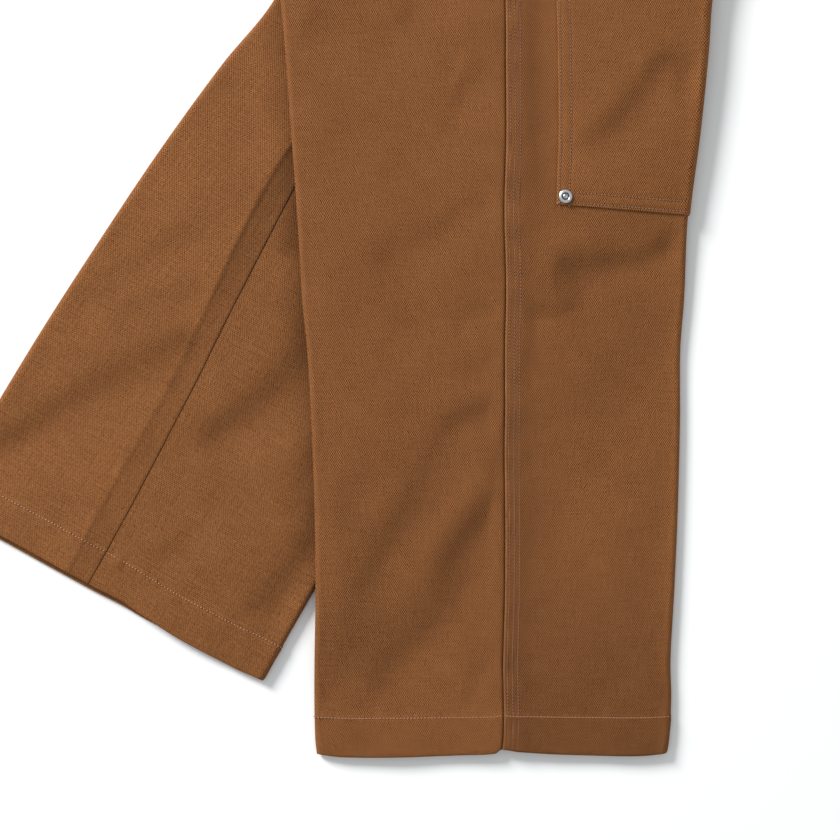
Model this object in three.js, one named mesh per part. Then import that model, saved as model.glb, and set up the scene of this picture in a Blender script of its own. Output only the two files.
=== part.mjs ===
// Carpenter work pants laid flat on their side, in millimetres, +Z up.
// The right leg lies on top with its outseam up the middle. The left leg lies
// beneath it, swung towards the back. The waist points to +Y and the front to +X.
// Plan points are measured from the outseam at the hem of the right leg.
import * as THREE from "three";

// Cloth and how the layers stack
const WALL = 1.1; // cotton duck, one panel
const SEAM_GAP = 0.3; // between pieces that are sewn together
const LEG_HEIGHT = 5.2; // a flattened leg, over both of its walls
const LEG_GAP = 0.6; // between the two legs
const FOLD_WIDTH = 4.0; // from the edge of a fold to where the panel lies flat
const STACK_HEIGHT = 2 * LEG_HEIGHT + LEG_GAP; // both legs, one on the other
const WAIST_HEIGHT = 5.2; // the body where it meets the waistband
const ON_CLOTH = WALL + SEAM_GAP; // what a second layer sewn on a panel adds
const STEP_DOWN = 46; // over which the upper leg comes down beside the lower one

// Sizes along and across the garment
const HEM_DEPTH = 25.4;
const HEM_RAISE = 0.4;
const LAP_WIDTH = 10.0; // the lapped outseam, under three rows of stitching
const LAP_RAISE = 0.7;
const FORK = 770; // inseam length, hem to fork
const CROTCH_END = 866; // the crotch curve has reached the folds here
const BODY_START = 900; // the body is one flat tube from here up
const WAIST_SEAM = 1000;
const WAISTBAND_DEPTH = 40;
const WAISTBAND_WALL = 2.0;
const WAISTBAND_HEIGHT = 6.6;
const PATCH_BOTTOM = 354;
const PATCH_TOP = 690;
const PATCH_INSET = 33.4; // from the outseam to the side edge of the knee patch
const PATCH_EASE = 15; // over which the cloth rises to the patch beneath it
const RIVET_RADIUS = 4.75;
const BUTTON_RADIUS = 8.5;
const LOOP_WIDTH = 12;
const FAR_SWING = (29 * Math.PI) / 180; // the left leg, swung to the back

// Sections from the hem up, each as its two folds in plan:
// [along the leg, left x, left y, right x, right y]
const BODY_ROWS = [
  [800, -232, 800, 217, 800],
  [850, -249, 850, 233, 850],
  [890, -258, 891, 243, 888],
  [930, -257, 936, 248, 922],
  [965, -241, 978, 247, 950],
  [1000, -216, 1021, 240, 975],
];
// The right leg
const NEAR_ROWS = [
  [0, -121, 0, 107, 0],
  [10, -123.5, 10, 109, 10],
  [35, -124, 35, 110, 35],
  [60, -123.8, 60, 109.5, 60],
  [106, -123, 106, 112, 106],
  [165, -123.8, 165, 114.6, 165],
  [217, -125.8, 217, 115.9, 217],
  [263, -128.4, 263, 115.7, 263],
  [296, -131.7, 296, 117.9, 296],
  [345, -134.5, 345, 120.4, 345],
  [401, -138.5, 401, 128.4, 401],
  [460, -143, 460, 134.5, 460],
  [493, -146, 493, 137, 493],
  [560, -157, 560, 148, 560],
  [640, -175, 640, 165, 640],
  [700, -193, 700, 182, 700],
  [750, -212, 750, 200, 750],
  ...BODY_ROWS,
];
// The left leg
const FAR_ROWS = [
  [0, -372, 161, -157.5, 47.5],
  [60, -340, 214, -127, 101],
  [130, -303, 275, -93, 162],
  [200, -267, 331, -57, 222],
  [272, -227, 391, -18, 283],
  [346, -185, 449, 22, 345],
  [407, -150, 492.6, 55, 398],
  [464, -130, 540, 85, 452],
  [528, -126, 598, 113, 522],
  [600, -144, 652, 139, 595],
  [665, -174, 706, 166, 665],
  [730, -204, 755, 192, 736],
  ...BODY_ROWS,
];

// How far each seam lies in from the front fold: [along the leg, distance]
const NEAR_FRONT_OUTSEAM = [
  [0, 106.5],
  [60, 109],
  [217, 115.5],
  [345, 119.6],
  [493, 135.5],
  [560, 149],
  [640, 165],
  [770, 207],
  [850, 232],
  [1000, 240],
];
const NEAR_FRONT_INSEAM = [
  [0, 117],
  [200, 122],
  [400, 118],
  [600, 122],
  [770, 150],
];
const FAR_FRONT_OUTSEAM = [
  [0, 117],
  [272, 118],
  [493, 116],
  [640, 160],
  [770, 206],
  [850, 232],
  [1000, 240],
];
const FAR_FRONT_INSEAM = [
  [0, 130],
  [200, 142],
  [310, 148],
  [464, 142],
  [600, 130],
  [770, 150],
];
// The crotch curve: how far the inner part of a panel still reaches in from its fold,
// [along the leg, distance]
const CROTCH_FRONT = [
  [770, 150],
  [776, 108],
  [786, 76],
  [800, 50],
  [820, 29],
  [842, 15],
  [866, 7],
];
const CROTCH_BACK = [
  [770, 278],
  [776, 222],
  [786, 176],
  [800, 132],
  [820, 86],
  [842, 45],
  [866, 7],
];

// The largest folds in the cloth: a line in plan, its rise and its half width
const CREASES = [
  { rise: -1.5, width: 20, line: [[-4, 232], [-45, 212], [-65, 165], [-81, 120]] },
  { rise: 1.3, width: 17, line: [[-9, 217], [-32, 191], [-52, 158], [-75, 106]] },
  { rise: -1.2, width: 16, line: [[-10, 171], [-29, 145], [-52, 86], [-94, 34]] },
  { rise: 1.0, width: 16, line: [[-16, 145], [-35, 86], [-68, 40]] },
  { rise: -1.3, width: 15, line: [[115, 456], [77, 426], [63, 407]] },
  { rise: -1.4, width: 13, line: [[120, 338], [84, 334], [47, 324]] },
  { rise: 1.0, width: 18, line: [[-9, 358], [-42, 345], [-78, 329]] },
  { rise: -1.3, width: 20, line: [[-225, 267], [-265, 231], [-301, 214]] },
  { rise: -1.3, width: 18, line: [[-215, 401], [-231, 348]] },
  { rise: -1.4, width: 26, line: [[-140, 640], [-60, 665], [30, 640]] },
  { rise: 1.2, width: 24, line: [[-175, 760], [-90, 725], [-20, 735]] },
  { rise: -1.3, width: 24, line: [[165, 745], [95, 720], [40, 735]] },
  { rise: 1.0, width: 30, line: [[-230, 930], [-150, 880], [-60, 860]] },
];

// Height steps of the grid along a leg and up the body
const LEG_STEPS = [
  0, 24.6, 26.4, 48, 72, 96, 120, 145, 170, 196, 222, 250, 280, 310, 336, 354, 376,
  405, 440, 480, 520, 560, 600, 645, 690, 715, 742, 769.4,
];
const BODY_STEPS = [776, 786, 800, 820, 842, 864, 877, 890, 903, 925, 950, 975, 999.7];
const STEPS = [...LEG_STEPS, ...BODY_STEPS];
const OUTER_COLUMNS = 9;
const FOLD_COLUMNS = 5;
const INNER_COLUMNS = 6;

// Cloth colours, from the photograph, in linear light
const DUCK = new THREE.MeshStandardMaterial({ color: 0x835331, roughness: 0.92, metalness: 0 });
const DUCK_FAR = new THREE.MeshStandardMaterial({ color: 0x8a5a37, roughness: 0.92, metalness: 0 });
const DUCK_TRIM = new THREE.MeshStandardMaterial({ color: 0x7a4d2d, roughness: 0.92, metalness: 0 });
const STEEL = new THREE.MeshStandardMaterial({ color: 0xb9bbbd, roughness: 0.35, metalness: 1 });

// Small maths
const mix = (a, b, t) => a + (b - a) * t;
const clamp = (value, low, high) => Math.min(high, Math.max(low, value));
const radians = (degrees) => (degrees * Math.PI) / 180;

function smooth(t) {
  const x = clamp(t, 0, 1);
  return x * x * (3 - 2 * x);
}

// The value of one column of a table at a place along it, on a smooth curve
function lookUp(rows, column, along) {
  const last = rows.length - 1;
  let i = 0;
  while (i < last - 1 && along > rows[i + 1][0]) {
    i += 1;
  }
  const before = rows[Math.max(0, i - 1)];
  const from = rows[i];
  const to = rows[i + 1];
  const after = rows[Math.min(last, i + 2)];
  const span = to[0] - from[0];
  const t = clamp((along - from[0]) / span, 0, 1);
  const slopeIn = ((to[column] - before[column]) / (to[0] - before[0])) * span;
  const slopeOut = ((after[column] - from[column]) / (after[0] - from[0])) * span;
  const t2 = t * t;
  const t3 = t2 * t;
  const start = (2 * t3 - 3 * t2 + 1) * from[column] + (t3 - 2 * t2 + t) * slopeIn;
  return start + (-2 * t3 + 3 * t2) * to[column] + (t3 - t2) * slopeOut;
}

// One section of a leg or of the body, as its two folds in plan
function section(half, along) {
  const at = (column) => lookUp(half.rows, column, along);
  const left = [at(1), at(2)];
  const right = [at(3), at(4)];
  const width = Math.hypot(right[0] - left[0], right[1] - left[1]);
  return { left, right, width };
}

// How far the point (x, y) lies from a line of plan points
function distanceTo(line, x, y) {
  let best = Infinity;
  let share = 0;
  for (let i = 0; i + 1 < line.length; i += 1) {
    const [ax, ay] = line[i];
    const dx = line[i + 1][0] - ax;
    const dy = line[i + 1][1] - ay;
    const t = clamp(((x - ax) * dx + (y - ay) * dy) / (dx * dx + dy * dy), 0, 1);
    const distance = Math.hypot(x - ax - t * dx, y - ay - t * dy);
    if (distance < best) {
      best = distance;
      share = (i + t) / (line.length - 1);
    }
  }
  return { distance: best, share };
}

// Rise and fall of the cloth that faces up
function creaseHeight(x, y) {
  let height = 0;
  for (const crease of CREASES) {
    const near = distanceTo(crease.line, x, y);
    const across = near.distance / crease.width;
    const taper = 0.35 + 0.65 * Math.sin(Math.PI * clamp(near.share, 0, 1));
    height += crease.rise * taper * Math.exp(-across * across);
  }
  return clamp(height, -1.4, 0.9);
}

const NEAR = { rows: NEAR_ROWS, side: 1, outseam: NEAR_FRONT_OUTSEAM, inseam: NEAR_FRONT_INSEAM };
const FAR = { rows: FAR_ROWS, side: -1, outseam: FAR_FRONT_OUTSEAM, inseam: FAR_FRONT_INSEAM };
const FAR_EDGE = FAR_ROWS.map((row) => [row[4], row[3]]);
const NEAR_EDGE = NEAR_ROWS.map((row) => [row[2], row[1]]);

// How far a plan point lies to the right of the left leg
function besideFarLeg(x, y) {
  const hemEdge = FAR_ROWS[0];
  const below = Math.max(0, hemEdge[4] - y);
  const edge = lookUp(FAR_EDGE, 1, Math.max(y, hemEdge[4])) - below * Math.tan(FAR_SWING);
  return (x - edge) * Math.cos(FAR_SWING);
}

// The right leg comes down to the ground beside the left one, and rises over its knee patch
function nearLift(x, y) {
  const down = smooth((besideFarLeg(x, y) - 2) / STEP_DOWN);
  const overPatch = smooth((y - 275) / 75) * (1 - smooth((y - 698) / 66));
  return ON_CLOTH * overPatch * (1 - down) - down * (LEG_HEIGHT + LEG_GAP);
}

// Where a knee patch lies beneath a leg, its panel is pressed up by the patch
function kneePress(panel, along, inward) {
  if (panel.fold === "left" || along < PATCH_BOTTOM - PATCH_EASE) {
    return 0;
  }
  const below = smooth((PATCH_BOTTOM - along) / PATCH_EASE);
  const above = smooth((along - PATCH_TOP) / PATCH_EASE);
  const reach = panelReach(panel, along);
  const seam = panel.half.side > 0 ? reach.inner : reach.outseam;
  const beside = smooth((inward - (seam - PATCH_INSET)) / PATCH_EASE);
  return ON_CLOTH * (1 - below) * (1 - above) * (1 - beside);
}

// Height of the fold at a section: its middle, its half height and where it ends
function foldShape(half, along) {
  const total = mix(STACK_HEIGHT, WAIST_HEIGHT, smooth((along - BODY_START) / 90));
  const merge = smooth((along - CROTCH_END) / (BODY_START - CROTCH_END));
  const radius = mix(LEG_HEIGHT / 2, total / 2, merge);
  const middle = half.side > 0 ? total - radius : radius;
  const join = total / 2 + (half.side * LEG_GAP) / 2;
  const sine = clamp((half.side * (join - middle)) / radius, -1, 1);
  const end = along > CROTCH_END ? (Math.asin(sine) * 180) / Math.PI : -90;
  return { total, radius, middle, end };
}

// Where a panel ends: at the outseam, and at the inseam or the crotch curve
function panelReach(panel, along) {
  const { width } = section(panel.half, along);
  const front = lookUp(panel.half.outseam, 1, along);
  const inseam = lookUp(panel.half.inseam, 1, along);
  const isFront = panel.fold === "right";
  const outseam = isFront ? front : width - front;
  let inner = isFront ? inseam : width - inseam;
  if (along > FORK) {
    inner = lookUp(isFront ? CROTCH_FRONT : CROTCH_BACK, 1, along);
  }
  return { outseam: outseam - SEAM_GAP / 2, inner: inner - SEAM_GAP / 2 };
}

// The body sags between the crotch curves, where no inner layer holds it up
function sag(half, along, fromFront) {
  if (along <= FORK) {
    return 0;
  }
  const { width } = section(half, along);
  const front = along < CROTCH_END ? lookUp(CROTCH_FRONT, 1, along) : FOLD_WIDTH;
  const back = along < CROTCH_END ? lookUp(CROTCH_BACK, 1, along) : FOLD_WIDTH;
  const open = Math.min(fromFront - front, width - fromFront - back);
  const spare = Math.max(0, foldShape(half, along).total - 2 * WALL - 3.5);
  return spare * smooth((open - 3) / 22) * smooth((along - FORK - 6) / 22);
}

// A point of a panel. A station is a distance in from the fold and an angle round it:
// 90 on the outer side, -90 on the inner side. Out is how far it stands off the cloth.
function panelPoint(panel, along, station, out) {
  const half = panel.half;
  const { left, right, width } = section(half, along);
  const { radius, middle } = foldShape(half, along);
  const angle = radians(station.angle);
  const onFold = Math.abs(station.angle) < 90;
  const inward = onFold
    ? FOLD_WIDTH - (FOLD_WIDTH + out) * Math.cos(angle)
    : station.inward;
  const [from, to] = panel.fold === "right" ? [right, left] : [left, right];
  const x = mix(from[0], to[0], inward / width);
  const y = mix(from[1], to[1], inward / width);
  const fromFront = panel.fold === "right" ? inward : width - inward;
  const facesUp = Math.max(0, half.side * Math.sin(angle));
  const facesDown = Math.max(0, -half.side * Math.sin(angle));
  let z = middle + half.side * (radius + out) * Math.sin(angle);
  z += facesDown * kneePress(panel, along, inward);
  z += facesUp * smooth((inward - 1) / 14) * coverShare(half, x, y) * creaseHeight(x, y);
  if (half.side > 0) {
    z += nearLift(x, y) - facesUp * sag(half, along, fromFront);
  }
  return [x, y, z];
}

// Creases of the left leg fade out where the right leg lies on it
function coverShare(half, x, y) {
  if (half.side > 0) {
    return 1;
  }
  const edge = lookUp(NEAR_EDGE, 1, y);
  return smooth((edge - x) / 20);
}

// A closed wall over a grid of points: an outer and an inner face, joined round the rim
function closedWall(rowCount, columnCount, outerPoint, innerPoint) {
  const positions = [];
  const faces = [];
  for (const point of [outerPoint, innerPoint]) {
    for (let i = 0; i < rowCount; i += 1) {
      for (let j = 0; j < columnCount; j += 1) {
        positions.push(...point(i, j));
      }
    }
  }
  const size = rowCount * columnCount;
  const at = (layer, i, j) => layer * size + i * columnCount + j;
  const quad = (a, b, c, d) => faces.push(a, b, c, a, c, d);
  for (let i = 0; i + 1 < rowCount; i += 1) {
    for (let j = 0; j + 1 < columnCount; j += 1) {
      quad(at(0, i, j), at(0, i, j + 1), at(0, i + 1, j + 1), at(0, i + 1, j));
      quad(at(1, i, j), at(1, i + 1, j), at(1, i + 1, j + 1), at(1, i, j + 1));
    }
  }
  for (let i = 0; i + 1 < rowCount; i += 1) {
    const end = columnCount - 1;
    quad(at(0, i, 0), at(0, i + 1, 0), at(1, i + 1, 0), at(1, i, 0));
    quad(at(0, i, end), at(1, i, end), at(1, i + 1, end), at(0, i + 1, end));
  }
  for (let j = 0; j + 1 < columnCount; j += 1) {
    const end = rowCount - 1;
    quad(at(0, 0, j), at(1, 0, j), at(1, 0, j + 1), at(0, 0, j + 1));
    quad(at(0, end, j), at(0, end, j + 1), at(1, end, j + 1), at(1, end, j));
  }
  return outwardGeometry(positions, faces);
}

// The faces are turned round if the body they close has come out inside out
function outwardGeometry(positions, faces) {
  let volume = 0;
  const corner = (index) => new THREE.Vector3().fromArray(positions, 3 * index);
  for (let i = 0; i < faces.length; i += 3) {
    const [a, b, c] = [corner(faces[i]), corner(faces[i + 1]), corner(faces[i + 2])];
    volume += a.dot(b.cross(c));
  }
  if (volume < 0) {
    for (let i = 0; i < faces.length; i += 3) {
      [faces[i + 1], faces[i + 2]] = [faces[i + 2], faces[i + 1]];
    }
  }
  const geometry = new THREE.BufferGeometry();
  geometry.setAttribute("position", new THREE.Float32BufferAttribute(positions, 3));
  geometry.setIndex(faces);
  geometry.computeVertexNormals();
  return geometry;
}

const garment = new THREE.Group();
garment.name = "carpenter_pants";

function add(name, geometry, material) {
  const mesh = new THREE.Mesh(geometry, material);
  mesh.name = name;
  garment.add(mesh);
  return mesh;
}

// The stations of a panel at one section, from its outseam round the fold to its inner end
function panelStations(panel, along) {
  const { outseam, inner } = panelReach(panel, along);
  const { end } = foldShape(panel.half, along);
  const steps = panel.fold === "right" ? [0, LAP_WIDTH - 1, LAP_WIDTH, PATCH_INSET] : [0, 12, 24];
  const stations = steps.map((step) => ({ inward: outseam - step, angle: 90, seam: step }));
  const last = stations[stations.length - 1].inward;
  const flat = OUTER_COLUMNS - steps.length;
  for (let j = 1; j <= flat; j += 1) {
    stations.push({ inward: mix(last, FOLD_WIDTH, j / flat), angle: 90, seam: PATCH_INSET });
  }
  const onCurve = along > CROTCH_END;
  const turn = onCurve ? mix(90, end, 0.7) : -90;
  for (let j = 1; j < FOLD_COLUMNS; j += 1) {
    const angle = mix(89, Math.max(turn, -89), (j - 0.5) / (FOLD_COLUMNS - 1));
    stations.push({ inward: 0, angle, seam: PATCH_INSET });
  }
  const inset = Math.min(PATCH_INSET, (inner - FOLD_WIDTH) / 2);
  for (let j = 0; j < INNER_COLUMNS; j += 1) {
    const share = j / (INNER_COLUMNS - 2);
    const flatIn = j < INNER_COLUMNS - 1 ? mix(FOLD_WIDTH, inner - inset, share) : inner;
    const round = mix(turn, end, (j + 0.4) / (INNER_COLUMNS - 0.6));
    stations.push({ inward: flatIn, angle: onCurve ? round : -90, seam: PATCH_INSET });
  }
  return stations;
}

// Front or back of one leg and its half of the body, cut as one piece of cloth. The hem
// and the lapped seam stand up from the cloth, except on the side that rests flat.
function bodyPanel(name, panel, material) {
  const grid = STEPS.map((along) => panelStations(panel, along));
  const raise = (along, station) => {
    if (station.angle * panel.half.side < 90) {
      return 0;
    }
    const hem = along < HEM_DEPTH ? HEM_RAISE : 0;
    const lapped = panel.fold === "right" && station.seam < LAP_WIDTH - 0.5;
    return Math.max(hem, lapped ? LAP_RAISE : 0);
  };
  const outer = (i, j) => {
    const station = grid[i][j];
    return panelPoint(panel, STEPS[i], station, raise(STEPS[i], station));
  };
  const inner = (i, j) => panelPoint(panel, STEPS[i], grid[i][j], -WALL);
  return add(name, closedWall(STEPS.length, grid[0].length, outer, inner), material);
}

// A second layer sewn over a panel, on the panel's own sections and stations, moved out
function sewnOn(name, panel, alongs, columns, material) {
  const grid = alongs.map((along) => panelStations(panel, along).slice(...columns));
  const point = (out) => (i, j) => panelPoint(panel, alongs[i], grid[i][j], out);
  const geometry = closedWall(alongs.length, grid[0].length, point(ON_CLOTH), point(SEAM_GAP));
  return add(name, geometry, material);
}

// The double knee, wrapped over the front fold
function kneePatch(name, panel, material) {
  const alongs = STEPS.filter((along) => along >= PATCH_BOTTOM && along <= PATCH_TOP);
  return sewnOn(name, panel, alongs, [3, -1], material);
}

// A patch pocket on the hip, between two columns of its panel
function hipPocket(name, panel, pocket, material) {
  const alongs = STEPS.filter((along) => along >= pocket.bottom && along <= pocket.top);
  return sewnOn(name, panel, alongs, pocket.columns, material);
}

// The waistband: one strip round the body. Its left end laps over its right end at the front.
function waistbandLine(width) {
  const top = WAISTBAND_HEIGHT - WAISTBAND_WALL / 2;
  const bottom = WAISTBAND_WALL / 2;
  const middle = WAISTBAND_HEIGHT / 2;
  const radius = middle - bottom;
  const line = [[8, middle], [34, middle], [46, mix(middle, top, 0.5)], [60, top]];
  for (const share of [0.2, 0.4, 0.6, 0.8, 1]) {
    line.push([mix(60, width - radius, share), top]);
  }
  for (const angle of [60, 30, 0, -30, -60]) {
    const turn = radians(angle);
    line.push([width - radius + radius * Math.cos(turn), middle + radius * Math.sin(turn)]);
  }
  for (const share of [0, 0.2, 0.4, 0.6, 0.8, 1]) {
    line.push([mix(width - radius, radius, share), bottom]);
  }
  for (const angle of [-60, -30, 0, 30, 60]) {
    const turn = radians(angle);
    line.push([radius - radius * Math.cos(turn), middle + radius * Math.sin(turn)]);
  }
  line.push([radius, top], [18, top], [30, top]);
  return line;
}

// Moves each point of a flat line sideways by the same distance
function offsetLine(line, distance) {
  return line.map((point, i) => {
    const before = line[Math.max(0, i - 1)];
    const after = line[Math.min(line.length - 1, i + 1)];
    const dx = after[0] - before[0];
    const dz = after[1] - before[1];
    const length = Math.hypot(dx, dz);
    return [point[0] - (dz / length) * distance, point[1] + (dx / length) * distance];
  });
}

function waistPoint(fromFront, z, up) {
  const { left, right, width } = section(NEAR, WAIST_SEAM);
  const across = [(right[0] - left[0]) / width, (right[1] - left[1]) / width];
  const x = right[0] - across[0] * fromFront - across[1] * up;
  const y = right[1] - across[1] * fromFront + across[0] * up;
  return [x, y, z];
}

function waistband() {
  const { width } = section(NEAR, WAIST_SEAM);
  const line = waistbandLine(width);
  const outer = offsetLine(line, WAISTBAND_WALL / 2);
  const inner = offsetLine(line, -WAISTBAND_WALL / 2);
  const rise = [0, WAISTBAND_DEPTH / 2, WAISTBAND_DEPTH];
  const point = (side) => (i, j) => waistPoint(side[j][0], side[j][1], rise[i]);
  add("waistband", closedWall(rise.length, line.length, point(outer), point(inner)), DUCK_TRIM);
}

// A belt loop: a narrow strip over the waistband, tacked down above and below it
function beltLoop(name, panel, inward, material) {
  const { width } = section(NEAR, WAIST_SEAM);
  const fromFront = panel.fold === "right" ? inward : width - inward;
  const sides = [-LOOP_WIDTH / 2, LOOP_WIDTH / 2];
  const profile = [
    { up: -16, stand: 0 },
    { up: -5, stand: 0.2 },
    { up: 3, stand: 0.4 },
    { up: WAISTBAND_DEPTH / 2, stand: 1.2 },
    { up: WAISTBAND_DEPTH - 1, stand: 0 },
  ];
  const point = (thick) => (i, j) => {
    const { up, stand } = profile[i];
    const place = waistPoint(fromFront + sides[j], 0, up);
    const station = { inward: inward + (panel.fold === "right" ? sides[j] : -sides[j]), angle: 90 };
    const cloth = panelPoint(panel, Math.min(WAIST_SEAM + up, WAIST_SEAM - 0.3), station, 0)[2];
    const floor = up > -8 ? WAISTBAND_HEIGHT : cloth;
    return [place[0], place[1], floor + SEAM_GAP + stand + thick];
  };
  add(name, closedWall(profile.length, sides.length, point(WALL), point(0)), material);
}

// The fly placket: a flat strip inside the front edge, on the left front
function flyPlacket() {
  const panel = PANELS.leftFront;
  const steps = [884, 920, 960, 997];
  const reach = [34, 46, 46, 46];
  const point = (out) => (i, j) => {
    const station = { inward: j === 0 ? 8 : reach[i], angle: 90 };
    return panelPoint(panel, steps[i], station, -out);
  };
  add("fly_placket", closedWall(4, 2, point(WALL + SEAM_GAP), point(WALL + SEAM_GAP + 1)), DUCK_TRIM);
}

// A turned metal piece, as a profile of radius and height spun about Z
function turned(name, profile, place) {
  const points = profile.map(([radius, height]) => new THREE.Vector2(radius, height));
  const spun = new THREE.LatheGeometry(points, 24);
  spun.rotateX(Math.PI / 2);
  const mesh = add(name, spun, STEEL);
  mesh.position.set(...place);
}

// The highest cloth under a round piece
function seatHeight(cloth, x, y, radius) {
  cloth.updateMatrixWorld(true);
  const down = new THREE.Vector3(0, 0, -1);
  let highest = 0;
  for (let i = 0; i < 12; i += 1) {
    const turn = (i * Math.PI) / 6;
    const from = new THREE.Vector3(x + radius * Math.cos(turn), y + radius * Math.sin(turn), 100);
    for (const hit of new THREE.Raycaster(from, down).intersectObject(cloth)) {
      highest = Math.max(highest, hit.point.z);
    }
  }
  return highest;
}

function kneeRivet(patch) {
  const panel = PANELS.rightFront;
  const along = PATCH_BOTTOM + 10.2;
  const inward = panelReach(panel, along).outseam - PATCH_INSET - 7.2;
  const [x, y] = panelPoint(panel, along, { inward, angle: 90 }, ON_CLOTH);
  const r = RIVET_RADIUS;
  const profile = [
    [0, 0],
    [r - 0.4, 0],
    [r, 0.35],
    [r - 0.5, 0.95],
    [r * 0.62, 1.35],
    [r * 0.5, 1.2],
    [r * 0.4, 1.75],
    [r * 0.2, 2.0],
    [0, 2.05],
  ];
  turned("right_knee_rivet", profile, [x, y, seatHeight(patch, x, y, r) + 0.1]);
}

function waistButton() {
  const place = waistPoint(17, WAISTBAND_HEIGHT + 0.2, WAISTBAND_DEPTH / 2);
  const r = BUTTON_RADIUS;
  const profile = [
    [0, 0],
    [r * 0.5, 0],
    [r * 0.5, 0.8],
    [r, 1.0],
    [r, 2.2],
    [r - 0.8, 2.8],
    [r - 1.8, 2.6],
    [0, 2.4],
  ];
  turned("waist_button", profile, place);
}

const PANELS = {
  rightFront: { half: NEAR, fold: "right" },
  rightBack: { half: NEAR, fold: "left" },
  leftFront: { half: FAR, fold: "right" },
  leftBack: { half: FAR, fold: "left" },
};
const FRONT_POCKET = { bottom: 800, top: 975, columns: [2, 7] };
const BACK_POCKET = { bottom: 800, top: 950, columns: [2, 7] };

bodyPanel("right_front", PANELS.rightFront, DUCK);
bodyPanel("right_back", PANELS.rightBack, DUCK);
bodyPanel("left_front", PANELS.leftFront, DUCK_FAR);
bodyPanel("left_back", PANELS.leftBack, DUCK_FAR);
const rightPatch = kneePatch("right_knee_patch", PANELS.rightFront, DUCK);
kneePatch("left_knee_patch", PANELS.leftFront, DUCK_FAR);
hipPocket("right_front_pocket", PANELS.rightFront, FRONT_POCKET, DUCK);
hipPocket("right_back_pocket", PANELS.rightBack, BACK_POCKET, DUCK);
waistband();
beltLoop("belt_loop_front", PANELS.rightFront, 118, DUCK_TRIM);
beltLoop("belt_loop_side", PANELS.rightBack, 205, DUCK_TRIM);
beltLoop("belt_loop_back", PANELS.rightBack, 60, DUCK_TRIM);
flyPlacket();
kneeRivet(rightPatch);
waistButton();

// The whole garment stands on its underside, centred
const box = new THREE.Box3().setFromObject(garment);
garment.position.set(-(box.min.x + box.max.x) / 2, -(box.min.y + box.max.y) / 2, -box.min.z);

export default garment;
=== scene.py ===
import math

import bpy
import numpy as np
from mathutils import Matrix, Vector


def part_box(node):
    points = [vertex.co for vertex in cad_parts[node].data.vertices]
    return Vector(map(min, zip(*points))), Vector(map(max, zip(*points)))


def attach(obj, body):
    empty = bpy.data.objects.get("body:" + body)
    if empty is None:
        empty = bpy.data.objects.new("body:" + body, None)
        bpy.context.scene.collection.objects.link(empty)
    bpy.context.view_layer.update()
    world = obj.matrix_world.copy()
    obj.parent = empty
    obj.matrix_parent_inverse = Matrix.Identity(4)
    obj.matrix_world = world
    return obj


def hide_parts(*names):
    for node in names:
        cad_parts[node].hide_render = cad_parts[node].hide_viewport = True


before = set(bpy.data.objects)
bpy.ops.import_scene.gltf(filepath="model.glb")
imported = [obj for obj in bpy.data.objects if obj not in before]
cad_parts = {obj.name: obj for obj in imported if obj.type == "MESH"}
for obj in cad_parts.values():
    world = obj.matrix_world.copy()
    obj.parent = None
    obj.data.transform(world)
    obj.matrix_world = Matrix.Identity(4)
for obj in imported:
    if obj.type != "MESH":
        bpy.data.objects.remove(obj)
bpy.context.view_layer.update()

# The pale table that the pants lie on, the soft light over it and the camera.
# The light is low and from the upper left, so that each soft fold of the cloth shows.
# The camera looks straight down on the lower half of the legs.
MM = 0.001
# Where the outseam meets the hem of the right leg, in the frame
HEM_CORNER = np.array([0.06180, -0.53045, 0.0])
VIEW_CENTRE = (-55.0, 217.5)
VIEW_WIDTH = 550.0
LENS = 85.0
SENSOR = 36.0
LIGHT_HEIGHT = 24
LIGHT_FROM = 137
LIGHT_AWAY = 5.0
LIGHT_SIZE = 1.65
LIGHT_POWER = 372
ROOM_COLOUR = (0.96, 0.99, 1.0, 1.0)
ROOM_LIGHT = 0.54
TABLE_COLOUR = (0.97, 0.97, 0.97, 1)
TABLE_HALF = 4
TABLE_TOP = -0.0002


def place(x, y, z=0.0):
    """A point of the frame, from millimetres beside and above the hem corner."""
    return Vector((HEM_CORNER[0] + x * MM, HEM_CORNER[1] + y * MM, z * MM))


camera_data = bpy.data.cameras.new("camera")
camera_data.lens = LENS
camera_data.sensor_width = SENSOR
camera = bpy.data.objects.new("camera", camera_data)
camera.location = place(*VIEW_CENTRE, VIEW_WIDTH * LENS / SENSOR)
bpy.context.scene.collection.objects.link(camera)
bpy.context.scene.camera = camera

key_data = bpy.data.lights.new("key_light", "AREA")
key_data.shape = "DISK"
key_data.size = LIGHT_SIZE
key_data.energy = LIGHT_POWER
key = bpy.data.objects.new("key_light", key_data)
turn = math.radians(LIGHT_FROM)
rise = math.radians(LIGHT_HEIGHT)
toward = Vector((math.cos(turn) * math.cos(rise), math.sin(turn) * math.cos(rise), math.sin(rise)))
key.location = place(*VIEW_CENTRE) + toward * LIGHT_AWAY
key.rotation_euler = toward.to_track_quat("Z", "Y").to_euler()
bpy.context.scene.collection.objects.link(key)

sky = bpy.data.worlds.new("soft_room")
bpy.context.scene.world = sky
sky.use_nodes = True
room_light = sky.node_tree.nodes["Background"]
room_light.inputs["Color"].default_value = ROOM_COLOUR
room_light.inputs["Strength"].default_value = ROOM_LIGHT
bpy.context.scene.view_settings.view_transform = "Standard"

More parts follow.
